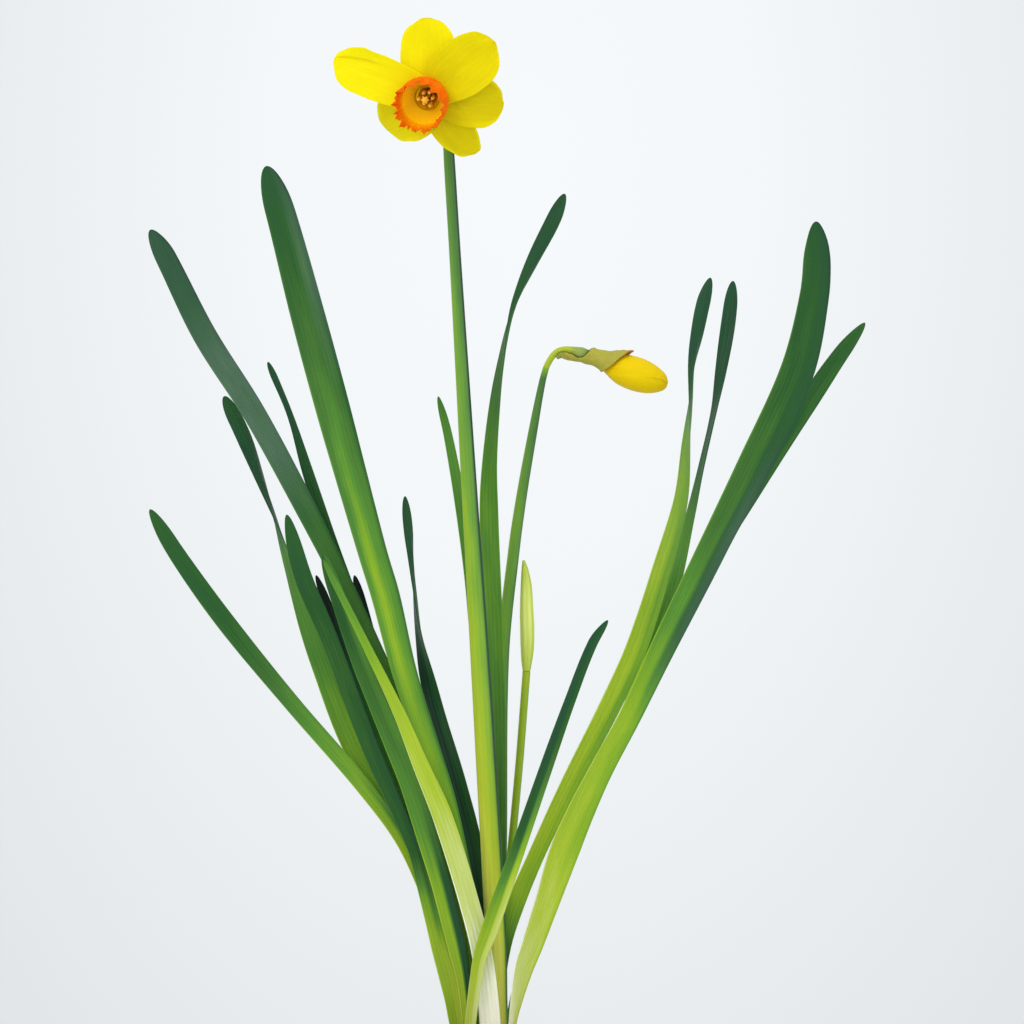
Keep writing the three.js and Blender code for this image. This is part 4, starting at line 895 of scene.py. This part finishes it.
def leaf_form(leaf):
    layer = leaf["layer"]
    rows = [(*row, 0)[:4] for row in leaf["rows"]]
    channel = leaf.get("channel", CHANNEL)

    def place(row):
        return Vector((row[0], layer * fan(row[1]), row[1]))

    at, knots = follow(rows, place, (0, 1, 0, 0))
    length = knots[-1]
    body = length - leaf["tip"]
    stations = [(ROOT_LINE - FREE_LINE, 1.0)]
    stations += blade_stations(body, round(body / LEAF_STEP), leaf["tip"], TIP_STATIONS)
    ridges = max(3, round(max(row[2] for row in rows) / VEIN_PITCH / 2))
    form = Form()
    rings = []
    for distance, narrow in stations:
        x, height, width, turn = at(distance)
        centre = place((x, height))
        ahead = place(at(min(distance + REACH, length))[:2])
        tangent = (ahead - place(at(distance - REACH)[:2])).normalized()
        flat = Vector((0, 1, 0)).cross(tangent).normalized()
        facing = flat.cross(tangent)
        side = flat * cos(radians(turn)) + facing * sin(radians(turn))
        front = side.cross(tangent)
        part = max(0, distance) / length
        thick = LEAF_THICK_ROOT + (LEAF_THICK_TIP - LEAF_THICK_ROOT) * part
        thick *= TIP_THINNESS + (1 - TIP_THINNESS) * narrow
        half_width = width * narrow / 2
        free = ease(distance, 0, FOOT_LENGTH)
        ring = []
        for u, sign, shape in blade_edge(LEAF_SIDES):
            half = max(BLADE_EDGE / 2, thick / 2 * (1 - EDGE_THINNING * u * u)) * shape
            rise = channel * width * narrow * (u * u - 0.5)
            keel = KEEL_HEIGHT * hump(u, 0, KEEL_WIDTH) * free * narrow if sign < 0 else 0
            wave = WAVE_DEPTH * free * narrow * bumps(distance / WAVE_LENGTH, u * 1.5, layer)
            offset = rise + sign * half - keel + wave
            point = centre + side * (u * half_width) + front * offset
            # Painted highlight along the left margin, which faces the light
            tone = tone_at(leaf, height, u) - MARGIN_HIGHLIGHT * ease(-u, *LEFT_MARGIN)
            skin = (u * half_width + 40 * layer, sign, distance)
            ring.append(form.add(point, tone, u * ridges * pi, skin, wax_at(leaf, height, u)))
        rings.append(ring)
    form.loft(rings)
    return form


def path_of(table, upright=False):
    """A path's values at a distance, its knots, and its direction and two radii at a distance."""

    def place(row):
        return Vector(row[:3])

    at, knots = follow(table["rows"], place, (0, 0, 1, 0, 0) if upright else None)

    def axes(distance):
        behind = distance - REACH if upright else max(distance - REACH, 0)
        ahead = (place(at(min(distance + REACH, knots[-1]))) - place(at(behind))).normalized()
        across = Vector(table["across"])
        first = (across - ahead * across.dot(ahead)).normalized()
        return ahead, first, ahead.cross(first)

    return at, knots, axes


def stem_form(table, shape=None):
    """A stem, or a bud whose shape gives (radius factor, tone) from (part along, angle)."""
    at, knots, axes = path_of(table, upright=not shape)
    length = knots[-1]
    step, sides = (BUD_STEP, BUD_SIDES) if shape else (STEM_STEP, STEM_SIDES)
    distances = [] if shape else [ROOT_LINE - FREE_LINE]
    for low, high in zip(knots, knots[1:]):
        bend = axes(low)[0].angle(axes(high)[0])
        pieces = ceil(max(bend / BEND_STEP, (high - low) / step))
        distances += [low + (high - low) * k / pieces for k in range(pieces)]
    distances.append(length)
    form = Form()
    rings = []
    for distance in distances:
        x, y, height, wide, deep = at(distance)
        _, first, second = axes(distance)
        ring = []
        for angle in around(sides):
            c = cos(angle)
            s = sin(angle)
            if shape:
                factor, tone = shape(distance / length, angle)
                wax = 0.0
            else:
                factor = 1.0
                tone = tone_at(table, height, max(-1, min(1, (first * c + second * s).x)))
                wax = OVARY_WAX * ease(distance - length, -table.get("ovary", 0), 2)
            point = Vector((x, y, height)) + factor * (first * wide * c + second * deep * s)
            folded = min(angle, 2 * pi - angle)
            skin = (wide * c, deep * s + 10 * sides, distance)
            ring.append(form.add(point, tone, folded * STEM_RIDGES, skin, wax))
        rings.append(ring)
    form.loft(rings)
    return form


def turned_form(profile, sides, tone=lambda x, y, height: 0.5):
    """A body turned round the Z axis from (radius, height) rows, with points on the axis at its ends."""
    form = Form()
    rings = []
    ends = []
    for radius, height in profile:
        spots = [polar(radius, angle, height) for angle in around(sides if radius else 1)]
        ring = [form.add(spot, tone(*spot)) for spot in spots]
        if radius:
            rings.append(ring)
        else:
            ends.append((len(rings), ring[0]))
    form.loft(rings, closed=False)
    for index, centre in ends:
        ring = rings[0] if index == 0 else rings[-1]
        form.faces += [(centre, ring[j], ring[(j + 1) % sides]) for j in range(sides)]
    return form


def rounded(profile, radius):
    """The profile with its inner corners rounded by short curves."""
    made = [profile[0]]
    for before, corner, after in zip(profile, profile[1:], profile[2:]):
        before, corner, after = Vector(before), Vector(corner), Vector(after)
        start = before - corner
        end = after - corner
        reach = min(radius, start.length / 2.1, end.length / 2.1)
        first = corner + start.normalized() * reach
        last = corner + end.normalized() * reach
        for t in (i / CORNER_STEPS for i in range(CORNER_STEPS + 1)):
            made.append(tuple(first * (1 - t) ** 2 + corner * 2 * t * (1 - t) + last * t**2))
    return made + [profile[-1]]


def dense(profile, step):
    """The profile with its long stretches divided."""
    made = [profile[0]]
    for before, after in zip(profile, profile[1:]):
        count = max(1, ceil(dist(before, after) / step))
        for t in (i / count for i in range(1, count + 1)):
            made.append((before[0] + (after[0] - before[0]) * t, before[1] + (after[1] - before[1]) * t))
    return made


# Pot
INSIDE_FOOT = POT_BASE_RADIUS - POT_WALL
INSIDE_TOP = POT_RIM_RADIUS - RIM_SLOPE - POT_WALL


def pot_inside(height):
    """Radius of the pot's inside at a height."""
    part = (height - POT_FLOOR) / (POT_HEIGHT - EDGE_ROUND - POT_FLOOR)
    return INSIDE_FOOT + (INSIDE_TOP - INSIDE_FOOT) * part


def lime_at(x, y, height):
    """Where damp dries out: under the rim band, at the foot and on the rim's edge."""
    return sum(amount * hump(height, level, width) for level, width, amount in LIME)


def make_pot(material):
    band_foot = POT_HEIGHT - RIM_BAND
    profile = [
        (1, 0),
        (POT_BASE_RADIUS, 0),
        (POT_RIM_RADIUS - RIM_SLOPE - RIM_STEP, band_foot),
        (POT_RIM_RADIUS - RIM_SLOPE, band_foot),
        (POT_RIM_RADIUS, POT_HEIGHT),
        (INSIDE_TOP, POT_HEIGHT),
        (INSIDE_FOOT, POT_FLOOR),
        (1, POT_FLOOR),
    ]
    outline = [(0, 0)] + dense(rounded(profile, EDGE_ROUND), POT_STEP) + [(0, POT_FLOOR)]
    pot = to_object("pot_look", turned_form(outline, POT_SIDES, lime_at), material)
    holes = Form()
    for i in range(DRAIN_COUNT):
        centre = polar(DRAIN_RING, 2 * pi * (i + DRAIN_TURN) / DRAIN_COUNT)
        outlines = [
            [centre + polar(DRAIN_RADIUS, turn, height) for turn in around(DRAIN_SIDES)]
            for height in (-POT_FLOOR, 2 * POT_FLOOR)
        ]
        holes.loft([holes.ring(outline) for outline in outlines])
    dress(carve(pot, to_object("drains", holes, material)), "pot")


# Bulb and soil
def bulb_form(grow):
    """Three bulbs grown together at one neck, enlarged by grow."""
    form = Form()
    for part in BULB_PARTS:
        profile = []
        for radius, height in BULB_PROFILE + part["top"]:
            wide = radius + grow / min(part["across"], part["deep"]) if radius else 0
            profile.append((wide, height + grow * copysign(1, height - BULB_WAIST)))
        outline = profile[:1] + dense(rounded(profile[1:-1], BULB_ROUND), BULB_STEP) + profile[-1:]
        one = turned_form(outline, BULB_SIDES)
        start = len(form.points)
        for point in one.points:
            x = point.x * part["across"] + part["x"]
            y = point.y * part["deep"] + part["y"]
            skin = polar(BULB_SKIN, atan2(point.y, point.x), point.z)
            form.add((x, y, point.z + part["lift"]), skin=skin)
        form.faces += [tuple(start + i for i in face) for face in one.faces]
    return form


def slot_form():
    """What is cut from the bulb for the leaves and stems to stand in."""
    outlines = []
    for leaf in LEAVES.values():
        x, _, width = leaf["rows"][0]
        outline = []
        for u, sign, shape in blade_edge(LEAF_SIDES):
            half = (LEAF_THICK_ROOT / 2 * (1 - EDGE_THINNING * u * u) + FIT) * shape
            rise = leaf.get("channel", CHANNEL) * width * (u * u - 0.5)
            outline.append((x + u * (width / 2 + FIT), leaf["layer"] - rise - sign * half))
        outlines.append(outline)
    for stem in STEMS.values():
        x, y, _, wide, deep = stem["rows"][0]
        if stem["across"][1]:
            wide, deep = deep, wide
        sized = [(wide + FIT, deep + FIT, angle) for angle in around(STEM_SIDES)]
        outlines.append([(x + w * cos(angle), y + d * sin(angle)) for w, d, angle in sized])
    form = Form()
    levels = (ROOT_LINE - FIT, SLOT_TOP)
    for outline in outlines:
        form.loft([form.ring([(*spot, level) for spot in outline]) for level in levels])
    return form


def make_bulb(material):
    bulb = to_object("bulb_look", bulb_form(0), material)
    dress(carve(bulb, to_object("slots", slot_form(), material)), "bulb")


def soil_height(x, y):
    broad = sin(0.33 * x + 1.7) * cos(0.29 * y)
    slanted = sin(0.21 * x - 0.47 * y)
    grain = bumps(x / 2.1, y / 2.1, 0) + 0.5 * bumps(x, y, 5)
    return SOIL_TOP + SOIL_CRUMB * (broad + slanted) / 2 + SOIL_GRAIN * grain


def outside_bulb(x, y, margin):
    """True if a place on the soil is clear of the bulb's neck and noses."""
    return all(
        hypot((x - part["x"]) / part["across"], (y - part["y"]) / part["deep"]) >= part["reach"] + margin
        for part in BULB_PARTS
    )


def add_crumb(form, centre, size, draw):
    """A lump of soil: a small ball pushed out of round."""
    ball = bmesh.new()
    bmesh.ops.create_icosphere(ball, subdivisions=2, radius=1)
    shift = Vector((draw.uniform(-50, 50), draw.uniform(-50, 50), 0))
    squeeze = Vector((draw.uniform(0.7, 1.3), draw.uniform(0.7, 1.3), draw.uniform(0.5, 0.9)))
    tone = draw.uniform(0.2, 0.8)
    start = len(form.points)
    for corner in ball.verts:
        bulge = 1 + 0.5 * bumps(*(corner.co * 1.3 + shift))
        form.add(centre + corner.co * squeeze * size * bulge, tone)
    form.faces += [tuple(start + v.index for v in face.verts) for face in ball.faces]
    ball.free()


def make_soil(material):
    form = Form()
    low = POT_FLOOR + FIT
    edge = pot_inside(SOIL_TOP) - 2 * FIT
    foot = pot_inside(low) - 2 * FIT
    rings = [form.ring([polar(foot, angle, low) for angle in around(SOIL_SIDES)])]
    for radius in (edge * (1 - i / SOIL_RINGS) for i in range(SOIL_RINGS)):
        spots = [polar(radius, angle) for angle in around(SOIL_SIDES)]
        rings.append(form.ring([(x, y, soil_height(x, y)) for x, y, _ in spots]))
    form.loft(rings)
    soil = carve(to_object("soil_look", form, material), to_object("bulb_room", bulb_form(FIT), material))
    dress(soil, "soil")
    crumbs = Form()
    draw = random.Random(CRUMB_SEED)
    while len(crumbs.points) < CRUMB_COUNT * CRUMB_CORNERS:
        spot = polar((edge - CRUMB_MARGIN) * sqrt(draw.random()), draw.uniform(0, 2 * pi))
        size = CRUMB_SIZES[0] + (CRUMB_SIZES[1] - CRUMB_SIZES[0]) * draw.random() ** CRUMB_POWER
        if outside_bulb(spot.x, spot.y, size):
            spot.z = soil_height(spot.x, spot.y) + CRUMB_RISE * size
            add_crumb(crumbs, spot, size, draw)
    dress(to_object("soil_crumbs", crumbs, material), "soil")


# Open bloom
def in_bloom(form):
    """Takes a form from the bloom's own frame into the plant's."""
    up = (Vector((0, 0, 1)) - BLOOM_FACES * BLOOM_FACES.z).normalized()
    turn = Matrix((up.cross(BLOOM_FACES), up, BLOOM_FACES)).transposed()
    place = Matrix.Translation(BLOOM_CENTRE) @ turn.to_4x4()
    form.points = [place @ point for point in form.points]
    return form


def add_tepal(form, tepal, number):
    along = polar(1, radians(tepal["angle"]))
    face = Vector((0, 0, 1))
    side = along.cross(face)
    rings = []
    for v, narrow in blade_stations(1 - tepal["end"], TEPAL_STATIONS, tepal["end"], TEPAL_TIP_STATIONS):
        grown = sin(pi / 2 * min(1, v / TEPAL_WIDEST))
        wide = tepal["width"] / 2 * narrow * (tepal["foot"] + (1 - tepal["foot"]) * grown)
        reach = TEPAL_ROOT + (tepal["length"] - TEPAL_ROOT) * v
        thin = TEPAL_TIP_THINNESS + (1 - TEPAL_TIP_THINNESS) * narrow
        ring = []
        for u, sign, shape in blade_edge(TEPAL_SIDES):
            bowl = tepal["trough"] * (u * u - TEPAL_BOWL) * sin(pi * v)
            half = max(BLADE_EDGE, TEPAL_THICK * (1 - EDGE_THINNING * u * u)) / 2 * shape * thin
            margin = ease(v, 0.3, 0.4)
            ruffle = tepal["wave"] * abs(u) ** 3 * sin(9 * v + 2.5 * u + number) * margin
            swell = TEPAL_SWELL * bumps(u * 1.4, v * 2.6, 7 * number) * margin
            rib = TEPAL_RIB * hump(u, 0, 0.1) * sin(pi * min(1, v + 0.1))
            lift = tepal["forward"] - TEPAL_SEAT + bowl - tepal["back"] * v * v + ruffle + swell - rib
            uneven = TEPAL_UNEVEN * bumps(u * wide / 4.5, reach / 7, 11 * number) * margin
            flat = along * (reach + uneven * v * v) + side * (u * (wide + uneven))
            point = flat + face * (lift + sign * half)
            # Painted shade in a fold near the left margin, each tepal's painted shade by how far it lies from
            # the light, and painted shade along its margin, a painted highlight where "margin" is below zero
            crease_shade = tepal["crease_shade"] * hump(u, 0.82 - 0.5 * v, 0.07) * margin
            tone = tepal["tone"] + 0.04 * hump(v, 0.15, 0.15) + crease_shade
            tone += tepal["margin"] * ease(abs(u), 0.75, 0.2) * margin
            skin = (u * wide + 60 * number, sign, reach)
            ring.append(form.add(point, tone, u * TEPAL_VEINS * pi, skin))
        rings.append(ring)
    form.loft(rings)


def throat_tone(x, y, height):
    """Amber round the throat and olive down in it, yellow outside."""
    if hypot(x, y) < between(THROAT_WIDTHS, height) or height > 0:
        return 0.86 + 0.14 * ease(-height, 2, 4)
    return 0.6


def perianth_form():
    """The tube with its throat, and the six tepals."""
    wall = dense(rounded(TUBE_PROFILE, THROAT_ROUND), TUBE_STEP)
    form = turned_form([(0, -TUBE_LENGTH)] + wall + [(0, THROAT_FLOOR)], TUBE_SIDES, throat_tone)
    for number, tepal in enumerate(TEPALS):
        add_tepal(form, tepal, number)
    return in_bloom(form)


def waves(table, angle):
    """The sum of waves round the rim."""
    return sum(size * sin(count * angle + start) for count, size, start in table)


def cup_form():
    """The frilled cup: a thin wall carried round the axis, spreading like a bowl and leaning to its rim."""
    form = Form()
    rings = []
    tables = (FRILLS, NOTCHES, FINE_FRILLS, FINE_NOTCHES)
    for angle in around(CUP_SIDES):
        frill, notch, fine, nick = (waves(table, angle) for table in tables)
        ragged = 1.2 + cos(angle - RAGGED_SIDE)
        ring = []
        for k in range(2 * CUP_LEVELS):
            outside = k < CUP_LEVELS
            v = (k if outside else 2 * CUP_LEVELS - 1 - k) / (CUP_LEVELS - 1)
            spread = 1 - (1 - v) ** CUP_SPREAD
            flare = CUP_BASE_RADIUS + (CUP_RIM_RADIUS - CUP_BASE_RADIUS) * spread
            pleat = PLEAT_DEPTH * sin(CUP_PLEATS * angle) * v
            wall = (CUP_WALL + CUP_FOOT_WALL * (1 - v) ** 2) * (1 - RIM_THINNING * ease(v, 0.8, 0.2))
            radius = flare + frill * v**3 + ragged * fine * v**5 + pleat + (wall if outside else 0)
            z = CUP_SEAT + CUP_DEPTH * v + notch * v**4 + ragged * nick * v**6
            point = polar(radius, angle, z) + v * Vector((*CUP_LEAN, 0))
            # Olive low on one side, deeper colour on the side with few teeth, and an orange band at the rim
            olive = 0.12 * hump(v, 0, 0.25) * max(0, cos(angle - OLIVE_SIDE))
            deep = 0.35 * ease(v, 0.45, 0.3) * max(0, cos(angle - SMOOTH_SIDE))
            band = ease(spread, 0.68 + 0.1 * max(0, -sin(angle)), 0.35)
            inner = min(0.96, 0.34 + 0.2 * v + 0.42 * band + deep - olive)
            tone = 0.86 + 0.08 * v if outside else inner
            ring.append(form.add(point, tone + 0.04 * frill * v, skin=polar(CUP_RIM_RADIUS, angle, z)))
        rings.append(ring)
    form.loft(rings + [rings[0]], closed=False)
    return in_bloom(form)


def add_stalk(form, rows, tone, lobes=0.0):
    """A round stalk through rows of (centre, radius), with lobes where it is wide."""
    fine = []
    for (start, first), (end, last) in zip(rows, rows[1:]):
        count = max(2, ceil((end - start).length / STALK_STEP))
        for t in (i / count for i in range(count)):
            fine.append((start.lerp(end, t), first + (last - first) * ease(t)))
    fine.append(rows[-1])
    rings = []
    for centre, radius in fine:
        lobed = lobes * ease(radius, FILAMENT_RADIUS)
        ring = []
        for angle in around(STALK_SIDES):
            reach = radius * (1 + lobed * cos(STIGMA_POINTS * angle))
            ring.append(form.add(centre + polar(reach, angle), tone))
        rings.append(ring)
    form.loft(rings)


def stamens_form():
    form = Form()
    foot = THROAT_FLOOR + FIT
    root = foot + BASE_HEIGHT / 2
    add_stalk(form, [(polar(0, 0, z), BASE_RADIUS) for z in (foot, foot + BASE_HEIGHT)], 0.2)
    half = ANTHER_LENGTH / 2
    full = ANTHER_FULL * half
    thin = FILAMENT_RADIUS
    anther = [(-half, thin), (-full, ANTHER_RADIUS), (full, ANTHER_RADIUS), (half, thin)]
    for i, angle in enumerate(around(STAMEN_COUNT)):
        reach, middle = STAMEN_WHORLS[i % len(STAMEN_WHORLS)]
        filament = [(FILAMENT_RING, root), (FILAMENT_RING, FILAMENT_BEND), (reach, middle - half)]
        add_stalk(form, [(polar(out, angle, z), thin) for out, z in filament], 0.25)
        add_stalk(form, [(polar(reach, angle, middle + rise), radius) for rise, radius in anther], 1.0)
    add_stalk(form, [(polar(0, 0, z), radius) for z, radius in STYLE], 0.6, STIGMA_DEPTH)
    return in_bloom(form)


# Buds and sheaths
def furled(part, angle):
    """Three petals furled round each other: each one's edge stands a little over the next."""
    turn = (angle / (2 * pi) * 3 + 0.7 * part) % 1
    edge = 1 + 0.05 * ease(part, 0, 1 / 3) * (1 - turn)
    seam = 0.5 * hump(turn, 0, 0.06) * ease(part, 0.65, 0.2)
    return edge, 0.7 - 0.6 * ease(1.8 * part) + seam + 0.3 * ease(part, 0.88, 0.12)


def seamed(part, angle):
    """A green sheath with soft ribs, and painted shade down its right side, away from the light."""
    rib = 0.03 * cos(7 * angle)
    # Painted shade down the right side of the bud
    right = 0.3 * max(0, -sin(angle)) ** 3
    return 1 + rib, 0.45 - 0.35 * hump(part, 0.5, 0.35) - 4 * rib * hump(part, 0.5, 0.4) + right


def sheath_form(table, tone):
    """A thin papery sheet wrapped part of the way round a path, with a crumpled surface and a ragged edge."""
    at, knots, axes = path_of(table)
    length = knots[-1]
    form = Form()
    rings = []
    for i in range(SHEATH_STEPS + 1):
        distance = length * i / SHEATH_STEPS
        x, y, height, radius, wrap, middle = at(distance)
        _, first, second = axes(distance)
        ring = []
        for k in range(2 * SHEATH_COLUMNS):
            outside = k < SHEATH_COLUMNS
            column = k if outside else 2 * SHEATH_COLUMNS - 1 - k
            u = 2 * column / (SHEATH_COLUMNS - 1) - 1
            ragged = 1 + SHEATH_RAGGED * bumps(distance / 1.5, u * 2, 3)
            angle = radians(middle + wrap * u * ragged)
            folds = SHEATH_CRINKLE * (bumps(distance / 2.2, angle * 2.5, 9) + 0.4)
            out = radius + max(0, folds) + (SHEATH_THICK if outside else 0)
            c, s, _ = polar(out, angle)
            point = Vector((x, y, height)) + first * c + second * s
            skin = (radius * angle, 0, distance)
            ring.append(form.add(point, tone(distance / length, u), angle * 7, skin))
        rings.append(ring)
    form.loft(rings)
    return form


def nodding_tone(part, u):
    """Sage at the foot, khaki in the middle, tan at the tip and along the edges near it."""
    edge = 0.4 * ease(abs(u), 0.86, 0.1) * ease(part, 0.6, 0.25)
    return 0.14 + 0.16 * ease(part, 0, 0.2) + 0.5 * ease(part, 0.88, 0.1) + edge


def bloom_sheath_tone(part, u):
    return 0.45 + 0.2 * part


# Surroundings
# Painted soft shade on the backdrop: palest just above the view's middle, darker towards the frame's bottom
# and sides
BACKGROUND = [(0, "#f7fafc"), (0.16, "#f3f7f9"), (0.33, "#e9edef"), (0.47, "#e1e5e8"), (1, "#f0f4f6")]
VIEW_REACH = 0.08


def make_floor():
    disc = Form()
    disc.faces.append(tuple(disc.ring([polar(FLOOR_RADIUS, angle) for angle in around(FLOOR_SIDES)])))
    floor = to_object("floor", disc, floor_material())


def add_light(name, place, size, power, colour):
    light = bpy.data.lights.new(name, "AREA")
    light.size = size
    light.energy = power
    light.color = paint(colour)[:3]
    lamp = place_object(name, light)
    lamp.location = place
    target = Vector((VIEW_CENTRE[0], 0, VIEW_CENTRE[1])) * MM
    lamp.rotation_euler = (target - Vector(place)).to_track_quat("-Z", "Y").to_euler()


def make_light():
    world = bpy.data.worlds.new("studio")
    world.use_nodes = True
    tree = world.node_tree
    way = add_node(tree, "TexCoord", {}).outputs["Generated"]
    flat = add_node(tree, "VectorMath", {0: way, 1: (1.6, 0, 1)}, operation="MULTIPLY").outputs[0]
    off = add_node(tree, "VectorMath", {0: flat, 1: (0, 0, 0.011)}, operation="SUBTRACT").outputs[0]
    reach = add_node(tree, "VectorMath", {0: off}, operation="LENGTH").outputs["Value"]
    colour = ramp(tree, maths(tree, "DIVIDE", reach, VIEW_REACH), BACKGROUND)
    connect(tree, colour, tree.nodes["Background"].inputs["Color"])
    bpy.context.scene.world = world
    add_light("key", (-1.3, -1.7, 2.0), 1.4, 26, "#fffaf2")
    add_light("fill", (1.8, -1.4, 0.9), 2.0, 11, "#f2f6ff")
    bpy.context.scene.view_settings.view_transform = "Standard"


def make_camera():
    data = bpy.data.cameras.new("camera")
    data.sensor_width = SENSOR
    data.lens = SENSOR * CAMERA_DISTANCE / VIEW_WIDTH
    data.clip_end = 100
    camera = place_object("camera", data)
    camera.location = Vector((VIEW_CENTRE[0], -CAMERA_DISTANCE, VIEW_CENTRE[1])) * MM
    camera.rotation_euler = (radians(90), 0, 0)
    bpy.context.scene.camera = camera


make_camera()
make_light()
make_floor()

leaf_look = green_material("leaf", GREENS, 0.08)
stem_look = green_material("stem", STEM_GREENS, 0.06)
make_pot(clay_material())
make_soil(plain_material("soil"))
make_bulb(plain_material("bulb"))

for name, leaf in LEAVES.items():
    add_piece(name, leaf_form(leaf), leaf_look)
for name, stem in STEMS.items():
    add_piece(name, stem_form(stem), stem_look)

add_piece("bloom_tepals", perianth_form(), tepal_material())
add_piece("bloom_cup", cup_form(), cup_material())
add_piece("bloom_stamens", stamens_form(), plain_material("stamen"))

petals = stem_form(NODDING_PETALS, furled)
add_piece("nodding_bud_petals", petals, plain_material("bud_yellow"))
add_piece("young_bud", stem_form(YOUNG_BUD, seamed), plain_material("bud_green"))
sheath_look = plain_material("sheath")
add_piece("nodding_bud_sheath", sheath_form(NODDING_SHEATH, nodding_tone), sheath_look)
add_piece("bloom_sheath", sheath_form(BLOOM_SHEATH, bloom_sheath_tone), sheath_look)
